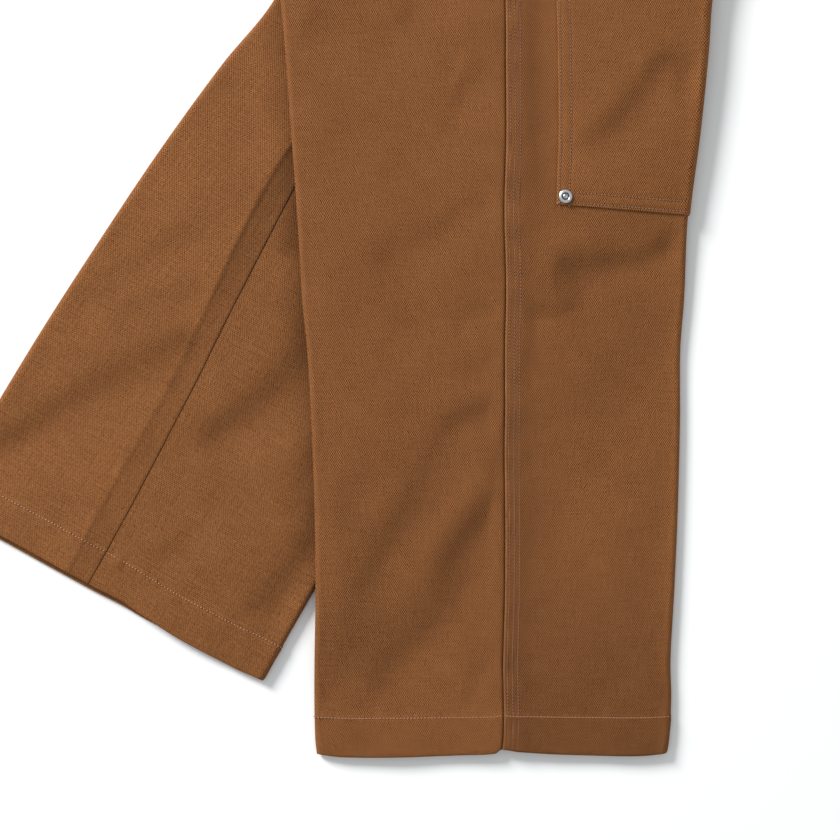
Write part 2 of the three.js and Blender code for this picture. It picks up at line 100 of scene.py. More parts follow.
floor_mesh = bpy.data.meshes.new("floor")
floor_corners = [
    (x * TABLE_HALF, y * TABLE_HALF, TABLE_TOP) for x, y in ((-1, -1), (1, -1), (1, 1), (-1, 1))
]
floor_mesh.from_pydata(floor_corners, [], [(0, 1, 2, 3)])
floor = bpy.data.objects.new("floor", floor_mesh)
bpy.context.scene.collection.objects.link(floor)
floor_paint = bpy.data.materials.new("white_table")
floor_paint.use_nodes = True
floor_surface = floor_paint.node_tree.nodes["Principled BSDF"]
floor_surface.inputs["Base Color"].default_value = TABLE_COLOUR
floor_surface.inputs["Roughness"].default_value = 0.9
floor_mesh.materials.append(floor_paint)

# The right leg and the right half of the body: a front and a back of brown cotton duck.
# Each is cut in one piece from hem to waist, wraps round its fold, and meets the other in a
# lapped outseam on top and a plain inseam beneath. All sizes are in millimetres.
CLOTH = 1.0
# One leg lying flat, the air between the legs, and both with it
LEG_HEIGHT = 5.2
LEG_GAP = 0.6
STACK_HEIGHT = 2 * LEG_HEIGHT + LEG_GAP
WAIST_HEIGHT = 5.2
# How wide a fold's round side is in plan, and over the cloth
FOLD_WIDTH = 4.0
FOLD_ARC = 5.2
SEAM_GAP = 0.3
# How far a second layer stands off the first one
ON_CLOTH = 1.4
# How far beside the left leg the right one takes to come down to the table
STEP_DOWN = 46.0
# Heights from the hem: fork, upper end of the crotch, where both halves are one, and waist
FORK = 770.0
CROTCH_END = 866.0
BODY_START = 900.0
WAIST_SEAM = 1000.0
# The knee patch lies over this part of the leg, this far in from the outseam
PATCH_BOTTOM = 354.0
PATCH_TOP = 690.0
PATCH_INSET = 33.4
PATCH_EASE = 15.0
# How far the left leg is swung to the back
FAR_SWING = math.radians(29)

# [along, left x, left y, right x, right y] of each section
BODY_ROWS = [
    [800, -232, 800, 217, 800],
    [850, -249, 850, 233, 850],
    [890, -258, 891, 243, 888],
    [930, -257, 936, 248, 922],
    [965, -241, 978, 247, 950],
    [1000, -216, 1021, 240, 975],
]
RIGHT_LEG_ROWS = [
    [0, -122.4, 0, 107.6, 0],
    [10, -123.5, 10, 109, 10],
    [35, -124, 35, 110, 35],
    [60, -123.8, 60, 109.5, 60],
    [106, -123, 106, 112, 106],
    [165, -123.8, 165, 114.6, 165],
    [217, -125.8, 217, 115.9, 217],
    [263, -128.4, 263, 115.7, 263],
    [296, -131.7, 296, 117.9, 296],
    [345, -134.5, 345, 120.4, 345],
    [401, -138.5, 401, 128.4, 401],
    [460, -143, 460, 134.5, 460],
    [493, -146, 493, 137, 493],
    [560, -157, 560, 148, 560],
    [640, -175, 640, 165, 640],
    [700, -193, 700, 182, 700],
    [750, -212, 750, 200, 750],
] + BODY_ROWS
# The left leg's sections too, because the right leg lies over them
LEFT_LEG_ROWS = [
    [0, -372, 161, -157.5, 47.5],
    [60, -340, 214, -127, 101],
    [130, -303, 275, -93, 162],
    [200, -267, 331, -57, 222],
    [272, -227, 391, -18, 283],
    [346, -185, 449, 22, 345],
    [407, -150, 492.6, 55, 398],
    [464, -130, 540, 85, 452],
    [528, -126, 598, 113, 522],
    [600, -144, 652, 139, 595],
    [665, -174, 706, 166, 665],
    [730, -204, 755, 192, 736],
] + BODY_ROWS
# [along, distance in from the front fold] of each seam, and of each panel's crotch curve
RIGHT_OUTSEAM = [
    [0, 106.5],
    [60, 109],
    [217, 115.5],
    [345, 119.6],
    [493, 135.5],
    [560, 149],
    [640, 165],
    [770, 207],
    [850, 232],
    [1000, 240],
]
RIGHT_INSEAM = [[0, 117], [200, 122], [400, 118], [600, 122], [770, 150]]
CROTCH_FRONT = [[770, 150], [776, 108], [786, 76], [800, 50], [820, 29], [842, 15], [866, 7]]
CROTCH_BACK = [[770, 278], [776, 222], [786, 176], [800, 132], [820, 86], [842, 45], [866, 7]]

RIGHT_LEG = {"rows": RIGHT_LEG_ROWS, "side": 1, "outseam": RIGHT_OUTSEAM, "inseam": RIGHT_INSEAM}
# A panel is named after the side of the frame on which its fold lies
FRONT = "right"
BACK = "left"

# Soft folds that face up: drop, width, and the line in plan that each one falls away from,
# drawn so that the lower cloth is on its left hand
BACK_CREASES = [
    (2.5, 10, [(8, 236), (-7, 230), (-29, 223), (-40, 214), (-47, 201), (-55, 185), (-63, 168),
               (-71, 152), (-83, 132), (-101, 100)]),
    (2.35, 10, [(6, 184), (-3, 173), (-11, 162), (-24, 146), (-38, 124), (-40, 112), (-42, 99),
                (-50, 87), (-64, 74), (-78, 61), (-85, 47), (-96, 28)]),
    (-1.2, 9, [(-10, 201), (-22, 180), (-31, 165), (-44, 151), (-51, 139), (-58, 126), (-65, 112),
               (-74, 99), (-83, 84)]),
    (0.72, 4, [(-3, 126), (-10, 122), (-21, 119), (-29, 111), (-32, 96)]),
    (0.72, 4, [(-3, 72), (-8, 64), (-21, 48), (-26, 29)]),
    (1.3, 7, [(-22, 457), (-41, 464), (-51, 472), (-60, 487)]),
    (1.3, 7, [(4, 444), (-7, 443), (-21, 440), (-29, 431), (-35, 417)]),
    (0.36, 7, [(-35, 424), (-38, 407), (-26, 386), (-5, 380)]),
    (0.9, 12, [(-58, 232), (-84, 206), (-104, 176), (-112, 140)]),
    (1.7, 8, [(5, 362), (-7, 361), (-21, 361), (-35, 352), (-47, 341), (-75, 332), (-94, 309)]),
    (1.2, 6, [(5, 299), (-5, 295), (-21, 290), (-38, 281)]),
    (1.1, 7, [(5, 266), (-4, 263), (-21, 255), (-38, 241)]),
    (0.45, 6, [(-60, 297), (-71, 282), (-83, 262)]),
    (0.54, 8, [(-67, 464), (-90, 472), (-122, 489)]),
    (1.1, 13, [(20, 640), (-60, 648), (-150, 612)]),
    (0.9, 10, [(10, 552), (-60, 560), (-140, 530)]),
    (1.2, 15, [(0, 745), (-90, 740), (-200, 770)]),
    (1, 18, [(-30, 870), (-110, 850), (-190, 880)]),
]
FRONT_CREASES = [
    (3.2, 8.5, [(139, 440), (128, 444), (118, 451), (107, 454), (98, 448), (88, 432), (77, 418),
                (65, 407), (50, 393)]),
    (0.81, 5, [(45, 474), (65, 453), (75, 441), (84, 428)]),
    (1.5, 8, [(21, 560), (21, 500), (22, 420), (23, 360), (24, 335)]),
    (2.5, 7.5, [(132, 341), (118, 338), (105, 335), (95, 326), (71, 322), (54, 321), (31, 318)]),
    (1.43, 5, [(34, 324), (42, 307), (48, 296), (39, 289), (10, 290)]),
    (0.45, 5, [(16, 292), (15, 273), (14, 253)]),
    (0.45, 4, [(43, 206), (27, 201), (14, 193)]),
    (0.36, 4, [(43, 173), (31, 164), (17, 160)]),
    (0.54, 4, [(43, 152), (24, 144), (10, 143)]),
    (0.45, 5, [(37, 64), (20, 52), (10, 34)]),
    (1, 12, [(160, 610), (95, 580), (40, 540)]),
    (1.2, 14, [(190, 745), (110, 725), (30, 735)]),
    (0.9, 15, [(190, 900), (130, 875), (60, 895)]),
]

# How far the hem of the right leg hangs below a straight line: [x, drop]
HEM_LINE = [[-124, 0.5], [-106, 2.6], [-66, 2.6], [-29, 1.3], [-6, 0.2], [-2, -2.4], [9, -1], [30, 0.5]]
HEM_LINE += [[60, 1.5], [90, 1.7], [110, -0.4]]

# How far the cloth of the right leg is drawn to the right: [along, at the outseam, at the front]
DRAWN_RIGHT = [
    [0, -2.6, -1.6],
    [34, -2.6, -0.8],
    [67, -1.2, -0.8],
    [132, -0.7, -0.8],
    [198, -0.9, -1.0],
    [230, 0.3, -0.9],
    [263, 1.0, -0.6],
    [296, 0.2, -0.4],
    [329, -0.5, -0.6],
    [375, -2.5, -2.0],
    [401, -3.1, -2.4],
    [450, -3.1, -2.6],
    [490, -1.2, -2.8],
    [600, 0, 0],
    [700, 0, 0],
]


def mix(a, b, t):
    """a where t is 0, b where it is 1."""
    return a + (b - a) * t


def smooth(t):
    """Rises softly from 0 to 1 while t does."""
    t = np.clip(t, 0, 1)
    return t * t * (3 - 2 * t)


def edge_round(distance, reach):
    """0 at an edge and 1 from reach on, over a quarter round, as a turned edge of cloth lies."""
    return np.sqrt(np.clip(1 - (1 - np.clip(distance / reach, 0, 1)) ** 2, 0, 1))


def near(distance, at, width):
    """1 at one distance, dying away over a width on both sides of it."""
    return np.exp(-(((distance - at) / width) ** 2))


def look_up(table, column, along):
    """A column of a table at places along it, on a smooth curve."""
    rows = np.array(table, float)
    along = np.asarray(along, float)
    last = len(rows) - 1
    i = np.clip(np.searchsorted(rows[:, 0], along, side="left") - 1, 0, last - 1)
    before = np.maximum(i - 1, 0)
    after = np.minimum(i + 2, last)
    place_at, value = rows[:, 0], rows[:, column]
    span = place_at[i + 1] - place_at[i]
    t = np.clip((along - place_at[i]) / span, 0, 1)
    slope_in = (value[i + 1] - value[before]) / (place_at[i + 1] - place_at[before]) * span
    slope_out = (value[after] - value[i]) / (place_at[after] - place_at[i]) * span
    start = (2 * t**3 - 3 * t**2 + 1) * value[i] + (t**3 - 2 * t**2 + t) * slope_in
    return start + (3 * t**2 - 2 * t**3) * value[i + 1] + (t**3 - t**2) * slope_out


def rounded(line):
    """A line of points with its corners cut twice."""
    points = np.array(line, float)
    for again in range(2):
        first = mix(points[:-1], points[1:], 0.25)
        second = mix(points[:-1], points[1:], 0.75)
        between = np.stack([first, second], axis=1).reshape(-1, 2)
        points = np.concatenate([points[:1], between, points[-1:]])
    return points


def line_distance(line, x, y):
    """How far points lie to the left hand of a line in plan, and how far along it."""
    best = np.full(np.shape(x), np.inf)
    share = np.zeros(np.shape(x))
    hand = np.zeros(np.shape(x))
    for i in range(len(line) - 1):
        (ax, ay), (bx, by) = line[i], line[i + 1]
        dx, dy = bx - ax, by - ay
        t = np.clip(((x - ax) * dx + (y - ay) * dy) / (dx * dx + dy * dy), 0, 1)
        distance = np.hypot(x - ax - t * dx, y - ay - t * dy)
        closer = distance < best
        best = np.where(closer, distance, best)
        share = np.where(closer, (i + t) / (len(line) - 1), share)
        hand = np.where(closer, np.sign(dx * (y - ay) - dy * (x - ax)), hand)
    return best * hand, share


def crease_height(creases, x, y):
    """Folds that fall steeply over their line and rise again slowly beyond it."""
    height = np.zeros(np.shape(x))
    for drop, width, line in creases:
        distance, share = line_distance(rounded(line), x, y)
        taper = np.minimum(1, 1.9 * np.sin(math.pi * share))
        spread = width * (1 + 0.2 * np.sin(7 * share + width))
        across = distance / spread
        fall = 0.5 + 0.5 * np.tanh(1.4 * across)
        height = height - drop * taper * fall * np.exp(-((np.maximum(0, across - 0.5) / 2.1) ** 2))
    return height


def slack(x, y):
    """The slow unevenness of cloth that isn't ironed."""
    waves = [(0.2, 0.061, 0.019, 0.4), (0.16, -0.027, 0.052, 2.1), (0.12, 0.093, -0.048, 1.2)]
    waves += [(0.09, 0.135, 0.091, 3.3), (0.07, -0.11, 0.16, 5.2)]
    height = 0
    for depth, across, up, start in waves:
        bend = 0.8 * np.sin(0.021 * x - 0.017 * y + 3 * start)
        height = height + depth * np.sin(across * x + up * y + start + bend)
    return height


def drawn_right(x, y):
    """How far the right leg's cloth is pulled to the right: nothing at the back fold."""
    at_seam = look_up(DRAWN_RIGHT, 1, y)
    at_front = look_up(DRAWN_RIGHT, 2, y)
    return np.where(x < 0, at_seam * smooth(1 + x / 110), mix(at_seam, at_front, smooth(x / 110)))


def beside_left_leg(x, y):
    """How far a place lies beside the left leg's front edge, which runs on past its hem."""
    edge_rows = [[row[4], row[3]] for row in LEFT_LEG_ROWS]
    hem_y = LEFT_LEG_ROWS[0][4]
    below = np.maximum(0, hem_y - y)
    edge = look_up(edge_rows, 1, np.maximum(y, hem_y)) - below * math.tan(FAR_SWING)
    return (x - edge) * math.cos(FAR_SWING)


def right_leg_lift(x, y):
    """The right leg stands a little higher over the left patch, and steps down beside the leg."""
    slope = mix(STEP_DOWN, 3 * STEP_DOWN, smooth((y - 40) / 160))
    down = smooth((beside_left_leg(x, y) - 2) / slope)
    over_patch = smooth((y - 275) / 75) * (1 - smooth((y - 698) / 66))
    return ON_CLOTH * over_patch * (1 - down) - down * (LEG_HEIGHT + LEG_GAP)


def fold_shape(side, along):
    """Whole height, radius, middle and lower end in degrees of the half round of a fold."""
    total = mix(STACK_HEIGHT, WAIST_HEIGHT, smooth((along - BODY_START) / 90))
    merge = smooth((along - CROTCH_END) / (BODY_START - CROTCH_END))
    radius = mix(LEG_HEIGHT / 2, total / 2, merge)
    middle = total - radius if side > 0 else radius
    join = total / 2 + side * LEG_GAP / 2
    sine = np.clip(side * (join - middle) / radius, -1, 1)
    end = np.where(along > CROTCH_END, np.degrees(np.arcsin(sine)), -90)
    return total, radius, middle, end


def leg_width(leg, along):
    """The left and right edge of a leg in plan, and how far apart they are."""
    rows = leg["rows"]
    left = [look_up(rows, 1, along), look_up(rows, 2, along)]
    right = [look_up(rows, 3, along), look_up(rows, 4, along)]
    return left, right, np.hypot(right[0] - left[0], right[1] - left[1])


def seam_reach(leg, fold, along):
    """How far a panel reaches in from its fold: to the outseam, and to its inner end."""
    width = leg_width(leg, along)[2]
    front = look_up(leg["outseam"], 1, along)
    inseam = look_up(leg["inseam"], 1, along)
    outer = front if fold == FRONT else width - front
    inner = inseam if fold == FRONT else width - inseam
    crotch = look_up(CROTCH_FRONT if fold == FRONT else CROTCH_BACK, 1, along)
    return outer - SEAM_GAP / 2, np.where(along > FORK, crotch, inner) - SEAM_GAP / 2


def across_range(leg, fold, along):
    """A panel's reach measured over the cloth: plus to the outseam, minus to the inner end."""
    outer, inner = seam_reach(leg, fold, along)
    end = fold_shape(leg["side"], along)[3]
    flat = -(FOLD_ARC + inner - FOLD_WIDTH)
    return FOLD_ARC + outer - FOLD_WIDTH, np.where(along > CROTCH_END, FOLD_ARC * end / 90, flat)


def body_sag(leg, along, from_front, width):
    """Above the fork nothing lies between the two sides, so the upper one sinks."""
    front = np.where(along < CROTCH_END, look_up(CROTCH_FRONT, 1, along), FOLD_WIDTH)
    back = np.where(along < CROTCH_END, look_up(CROTCH_BACK, 1, along), FOLD_WIDTH)
    open_part = np.minimum(from_front - front, width - from_front - back)
    total = fold_shape(leg["side"], along)[0]
    spare = np.maximum(0, total - 5.7)
    return spare * smooth((open_part - 3) / 22) * smooth((along - FORK - 6) / 22)


def knee_press(leg, fold, along, inward):
    """The lower side of a front is pressed up where its knee patch lies beneath it."""
    if fold == BACK:
        return 0.0
    below = smooth((PATCH_BOTTOM - along) / PATCH_EASE)
    above = smooth((along - PATCH_TOP) / PATCH_EASE)
    outer, inner = seam_reach(leg, fold, along)
    seam = inner if leg["side"] > 0 else outer
    beside = smooth((inward - (seam - PATCH_INSET)) / PATCH_EASE)
    return ON_CLOTH * (1 - below) * (1 - above) * (1 - beside)


def creases_of(leg, fold, x, y):
    """The folds of one panel. Those of the right leg die away at the lapped outseam."""
    if leg["side"] < 0:
        return crease_height(LEFT_CREASES, x, y)
    if fold == BACK:
        return crease_height(BACK_CREASES, x, y) * smooth((-1 - x) / 11)
    return crease_height(FRONT_CREASES, x, y) * smooth((x - 11) / 7)


def covered(x, y):
    """0 where the right leg lies over the left one, 1 where the left one is bare."""
    edge = look_up([[row[2], row[1]] for row in RIGHT_LEG_ROWS], 1, y)
    return smooth((edge - x) / 20)


def loose_height(leg, fold, along, inward, x, y):
    """Folds and slack together, kept within the cloth's play and away from its fold."""
    lowest = -1.3 - 2.2 * smooth((along - 27) / 20)
    free = np.clip(creases_of(leg, fold, x, y) + slack(x, y), lowest, 3.0)
    return free * smooth((inward - 0.5) / 13)


def left_hem_hang(x, along, facing_down):
    """How far the left leg's hem hangs below its first section, with the lower layer further."""
    shown = facing_down * (1 - smooth(along / 30)) * smooth((-215 - x) / 40)
    return UNDER_LAYER * shown + look_up(LEFT_HEM_LINE, 1, x) * (1 - smooth(along / 60))


def cloth_point(leg, fold, along, across, out):
    """Points of a panel from their place on the cloth, standing off it by out."""
    along, across, out = np.broadcast_arrays(*(np.asarray(v, float) for v in (along, across, out)))
    side = leg["side"]
    left, right, width = leg_width(leg, along)
    radius, middle = fold_shape(side, along)[1:3]
    angle = np.clip(across / FOLD_ARC, -1, 1) * math.pi / 2
    flat = np.abs(across) - FOLD_ARC + FOLD_WIDTH
    bent = FOLD_WIDTH - (FOLD_WIDTH + out) * np.cos(angle)
    inward = np.where(np.abs(across) < FOLD_ARC, bent, flat)
    start, finish = (right, left) if fold == FRONT else (left, right)
    x = mix(start[0], finish[0], inward / width)
    y = mix(start[1], finish[1], inward / width)
    facing_up = np.maximum(0, side * np.sin(angle))
    facing_down = np.maximum(0, -side * np.sin(angle))
    z = middle + side * (radius + out) * np.sin(angle)
    z = z + facing_down * knee_press(leg, fold, along, inward)
    loose = loose_height(leg, fold, along, inward, x, y)
    if side > 0:
        from_front = inward if fold == FRONT else width - inward
        x = x + drawn_right(x, y)
        y = y - look_up(HEM_LINE, 1, x) * (1 - smooth(y / 40))
        z = z + right_leg_lift(x, y) - facing_up * body_sag(leg, along, from_front, width)
    else:
        longer = left_hem_hang(x, along, facing_down)
        x = x - longer * math.sin(FAR_SWING)
        y = y - longer * math.cos(FAR_SWING)
        loose = np.maximum(loose, 0) * covered(x, y) + np.minimum(loose, 0) * covered(x - 24, y)
    z = z + facing_up * loose
    return np.stack([x, y, z], axis=-1)


def shell_faces(rows, columns):
    """The faces of two grids of points, one under the other, and of the rim between them."""
    size = rows * columns
    index = np.arange(size).reshape(rows, columns)
    corners = [index[:-1, :-1], index[:-1, 1:], index[1:, 1:], index[1:, :-1]]
    face = np.stack(corners, axis=-1).reshape(-1, 4)
    rim = np.concatenate([index[0, :-1], index[:-1, -1], index[-1, :0:-1], index[:0:-1, 0]])
    following = np.roll(rim, -1)
    edge = np.stack([following, rim, rim + size, following + size], axis=-1)
    return np.concatenate([face, face[:, ::-1] + size, edge])


def turned_outward(points, quads):
    """The same faces, all reversed if they enclose less than nothing."""
    a, b, c, d = (points[quads[:, corner]] for corner in range(4))
    volume = np.einsum("ij,ij->i", a, np.cross(b, c)).sum()
    volume += np.einsum("ij,ij->i", a, np.cross(c, d)).sum()
    return quads[:, ::-1] if volume < 0 else quads


def cloth_piece(name, outer, inner, grain, painted_light_and_tone, material):
    """A closed thin shell from grids of points on its two faces. It carries the place of each
    point on the threads, for the weave, and how much paler or darker the cloth is painted there:
    mostly painted light and shade, with some tone of the cloth's own."""
    points = np.concatenate([outer.reshape(-1, 3), inner.reshape(-1, 3)]) * MM + HEM_CORNER
    quads = turned_outward(points, shell_faces(*outer.shape[:2]))
    mesh = bpy.data.meshes.new(name)
    mesh.from_pydata(points.tolist(), [], quads.tolist())
    mesh.shade_smooth()
    threads = mesh.attributes.new("grain", "FLOAT_VECTOR", "POINT")
    flat_grain = np.concatenate([grain.reshape(-1, 2)] * 2) * MM
    padded_grain = np.column_stack([flat_grain, np.zeros(len(flat_grain))])
    threads.data.foreach_set("vector", padded_grain.astype(np.float32).ravel())
    light_and_tone_layer = mesh.attributes.new("painted_light_and_tone", "FLOAT", "POINT")
    light_and_tone_layer.data.foreach_set("value", np.concatenate([painted_light_and_tone.ravel()] * 2).astype(np.float32))
    mesh.materials.append(material)
    piece = bpy.data.objects.new(name, mesh)
    bpy.context.scene.collection.objects.link(piece)
    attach(piece, "root")
    return piece


class Wire:
    """One output of a shader node, in plain arithmetic."""

    def __init__(self, shader, socket):
        self.shader = shader
        self.socket = socket

    def maths(self, operation, *values):
        return self.shader.node("ShaderNodeMath", {"operation": operation}, values)

    def __add__(self, other):
        return self.maths("ADD", self, other)

    def __radd__(self, other):
        return self.maths("ADD", other, self)

    def __sub__(self, other):
        return self.maths("SUBTRACT", self, other)

    def __rsub__(self, other):
        return self.maths("SUBTRACT", other, self)

    def __mul__(self, other):
        return self.maths("MULTIPLY", self, other)

    def __rmul__(self, other):
        return self.maths("MULTIPLY", other, self)

    def sine(self):
        return self.maths("SINE", self)

    def clipped(self):
        return self.shader.node("ShaderNodeClamp", {}, [self])


class Shader:
    """A new node material, built one node at a time."""

    def __init__(self, name):
        self.material = bpy.data.materials.new(name)
        self.material.use_nodes = True
        self.tree = self.material.node_tree
        self.surface = self.tree.nodes["Principled BSDF"]

    def node(self, kind, settings, sockets, output=0):
        made = self.tree.nodes.new(kind)
        for setting, value in settings.items():
            setattr(made, setting, value)
        named = sockets.items() if isinstance(sockets, dict) else enumerate(sockets)
        for socket, value in named:
            self.join(made.inputs[socket], value)
        return Wire(self, made.outputs[output])

    def join(self, socket, value):
        """Links a wire to a socket, or sets the socket to a plain value."""
        if isinstance(value, Wire):
            self.tree.links.new(value.socket, socket)
        else:
            socket.default_value = value

    def parts(self, vector):
        """The first two measures of a vector."""
        made = self.node("ShaderNodeSeparateXYZ", {}, [vector]).socket.node
        return [Wire(self, output) for output in made.outputs[:2]]

    def attribute(self, name, output):
        return self.node("ShaderNodeAttribute", {"attribute_name": name}, {}, output)

    def noise(self, coordinates, scale, detail=2.0, roughness=0.5):
        sockets = {"Vector": coordinates, "Scale": scale, "Detail": detail, "Roughness": roughness}
        return self.node("ShaderNodeTexNoise", {}, sockets)

    def blend(self, share, first, second):
        """A colour between two. The Mix node keeps its colours on sockets 6, 7 and 2."""
        sockets = {"Factor": share, 6: first, 7: second}
        return self.node("ShaderNodeMix", {"data_type": "RGBA"}, sockets, 2)

    def scaled(self, vector, scale):
        sockets = {"Vector": vector, "Scale": scale}
        return self.node("ShaderNodeVectorMath", {"operation": "SCALE"}, sockets)

    def stretched(self, coordinates, scale):
        return self.node("ShaderNodeVectorMath", {"operation": "MULTIPLY"}, [coordinates, scale])


def linear(red, green, blue):
    """A colour as a screen shows it, 0 to 255, in the light that a shader works in."""
    values = [channel / 255 for channel in (red, green, blue)]
    light = [v / 12.92 if v <= 0.04045 else ((v + 0.055) / 1.055) ** 2.4 for v in values]
    return (*light, 1.0)


# Between one thread and the next, across the cloth and along it
WARP_PITCH = 0.67
WEFT_PITCH = 1.05
# The thread's colour where it catches the light, and at its side
DUCK_LIT = linear(154, 105, 64)
DUCK_SHADED = linear(79, 33, 3)


def thread_wave(place_at, pitch, wander, sway):
    """Up over one thread and down over the next, on threads that don't run quite straight."""
    return (place_at * (math.pi / (pitch * MM)) + wander * sway).sine()


def slub(shader, grain, stretch):
    """Thick and thin places, drawn out along a thread."""
    return shader.noise(shader.stretched(grain, stretch), 1.0)


def duck_cloth(name, regular):
    """Firm plain-woven cotton: each thread shows light where it lies over and dark at its side.
    The more regular the cloth, the more its threads show. They show less towards the hem."""
    shader = Shader(name)
    grain = shader.attribute("grain", "Vector")
    beside, up = shader.parts(grain)
    wander = shader.noise(grain, 190.0, 3.0)
    warp = thread_wave(beside, WARP_PITCH, wander, 9.0)
    weave = warp * thread_wave(up, WEFT_PITCH, wander, 8.0)
    shows = (up * 1.6 + 0.5).clipped() * regular
    slubs = slub(shader, grain, (1500.0, 60.0, 1.0)) + slub(shader, grain, (50.0, 1400.0, 1.0)) - 1.0
    mottle = shader.noise(grain, 26.0, 4.0, 0.6)
    speck = shader.noise(grain, 650.0, 2.0, 0.7)
    thread = (weave * shows + slubs * 0.5 + (speck - 0.5) * 0.9 + 0.5).clipped()
    # The attribute read here brings painted light and shade, and some tone of the cloth's own, into the
    # colour; the mottle is random tone.
    painted_light_and_mottle = shader.attribute("painted_light_and_tone", "Fac") + (mottle - 0.5) * 0.28 + 1.0
    woven = shader.blend(thread, DUCK_SHADED, DUCK_LIT)
    shader.join(shader.surface.inputs["Base Color"], shader.scaled(woven, painted_light_and_mottle))
    height = weave * 0.3 + slubs * 0.5 + speck * 0.3
    sockets = {"Strength": 0.5, "Distance": 0.0003, "Height": height}
    shader.join(shader.surface.inputs["Normal"], shader.node("ShaderNodeBump", {}, sockets))
    shader.surface.inputs["Roughness"].default_value = 0.9
    shader.surface.inputs["Specular IOR Level"].default_value = 0.1
    return shader.material


brown_duck = duck_cloth("brown_duck", regular=1.1)

# Places of the mesh's rows from the hem, and of its columns from the outseam and the inner end,
# close together where the cloth is turned or sewn
HEM_STEPS = [0.0, 0.12, 0.45, 1.0, 1.8, 3.2]
ROW_STEP = 4.5
SEAM_OFFSETS = [0.0, 0.12, 0.4, 0.8, 1.5, 2.1, 2.6, 3.1, 4.0, 5.2, 5.9, 6.6, 7.8, 8.8, 9.3, 9.8, 10.6]
SEAM_OFFSETS += [12.0, 15.0, 18.5, 22.0, 25.5, 28.5, 30.5, 31.6, 32.4, 33.0, 33.4, 34.0, 36.0]
INNER_OFFSETS = [26.0, 23.0, 21.0, 20.0, 19.0, 18.0, 17.0, 16.0, 15.0, 13.5, 12.0, 9.0, 6.0, 4.0, 2.5]
INNER_OFFSETS += [1.5, 0.9, 0.5, 0.25, 0.1, 0.0]
# The rows of stitching: from the lapped edge, and above the hem
SEAM_ROWS = (2.6, 5.9, 9.3)
HEM_ROW = 24.0
HEM_ROUND = 3.0


def panel_rows():
    """Heights of the mesh's rows, close together at the hem, the fork and the crotch's end."""
    steps = HEM_STEPS + list(np.arange(6.0, 22.0, 3.0))
    steps += [22.6, 23.6, 24.4, 25.0, 25.6, 26.3, 27.4, 29.5]
    steps += list(np.arange(33.0, FORK - 2, ROW_STEP)) + [FORK - 0.6]
    steps += [773, 776, 780, 785, 790, 796, 803, 811, 820, 830, 842, 854, 864]
    steps += [868, 874, 881, 890, 900]
    steps += list(np.arange(906.0, 998.0, 6.0)) + [WAIST_SEAM - 0.3]
    return np.array(steps)


def panel_columns(leg, fold, along):
    """Places across the cloth at each row: close together at seams and round the fold."""
    outer, inner = across_range(leg, fold, along)
    near_seam = outer[:, None] - np.array(SEAM_OFFSETS)[None, :]
    flat = np.linspace(0, 1, 36)[None, 1:-1]
    between = mix(near_seam[:, -1:], FOLD_ARC + 1.5, flat)
    share = np.linspace(0, 1, 15)[None, :]
    turned = np.where(along > CROTCH_END, mix(FOLD_ARC, inner, 0.7), -FOLD_ARC)
    round_fold = mix(FOLD_ARC + 1.5, turned[:, None], share)
    room = np.minimum(1, 0.7 * (turned - inner) / INNER_OFFSETS[0])
    near_inner = inner[:, None] + room[:, None] * np.array(INNER_OFFSETS)[None, :]
    inside = mix(turned[:, None], near_inner[:, :1], np.linspace(0, 1, 22)[None, 1:-1])
    return np.concatenate([near_seam, between, round_fold, inside, near_inner], axis=1)


def lap_rise(from_seam):
    """The turned allowance under the lap lifts the cloth and runs out beside the third row."""
    return 0.95 * (1 - smooth((from_seam - 7.5) / 13))


def lap_height(from_seam):
    """The folded edge of the front lies over the back, drawn down by three rows of stitching."""
    edge = edge_round(from_seam, 0.8)
    height = lap_rise(from_seam) * edge - 0.2 * (1 - edge)
    for row in SEAM_ROWS:
        height = height - 0.22 * near(from_seam, row, 0.5)
    return height


def under_lap(from_seam, across):
    """The back dips below the front's folded edge, and lies flatter beside its own fold."""
    return -0.5 * np.exp(-from_seam / 0.8) - 0.9 * (1 - smooth((across - 2) / 17))


def hem_height(along):
    """The hem: a rounded fold at the edge, and one row of stitching at its top."""
    band = 0.45 * (1 - smooth((along - HEM_ROW - 0.6) / 1.5))
    return band - 0.8 * (1 - edge_round(along, 1.6)) - 0.3 * near(along, HEM_ROW, 0.7)


def hem_pucker(along, across):
    """The sewing draws the hem into fine slanting tucks."""
    ripple = np.sin(0.62 * across + 0.35 * along + 1.4 * np.sin(0.11 * across))
    return 0.07 * ripple * smooth(along / 6) * (1 - smooth((along - HEM_ROW) / 6))


def seam_pucker(from_seam, along):
    """Fine tucks across the sewing, and slower ones that run out into the cloth."""
    fine = np.sin(1.05 * along + 1.9 * np.sin(0.13 * along) + 0.5 * from_seam)
    slow = np.sin(0.27 * along + 1.9 * np.sin(0.043 * along)) * np.sin(0.021 * along + 0.6)
    in_seam = np.exp(-(((from_seam - 5.5) / 4.5) ** 4))
    return 0.09 * fine * in_seam + 0.26 * slow * np.exp(-np.abs(from_seam - 5) / 13)


def allowance_reach(along):
    """How wide the allowance of the left inseam is pressed open."""
    return 16 + 2.5 * smooth((along - 200) / 200) + 1.2 * np.sin(0.031 * along)


def beside_inseam(from_inner, along):
    """The seam allowance is pressed to the back, and the cloth over it lies a little lower."""
    reach = allowance_reach(along)
    deep = 0.25 + 0.35 * smooth((along - 120) / 150)
    band = (1 - smooth((from_inner - reach + 3) / 3.4)) * smooth(from_inner / 7)
    return 0.08 * near(from_inner, reach + 1.6, 1.6) - deep * band


def hem_crossing(from_inner, along):
    """The left inseam's allowance folded into the hem makes a small puckered lump."""
    lump = near(from_inner, 10, 4.5) * near(along, 21, 5)
    return 0.6 * lump * (1 + 0.5 * np.sin(1.6 * from_inner))


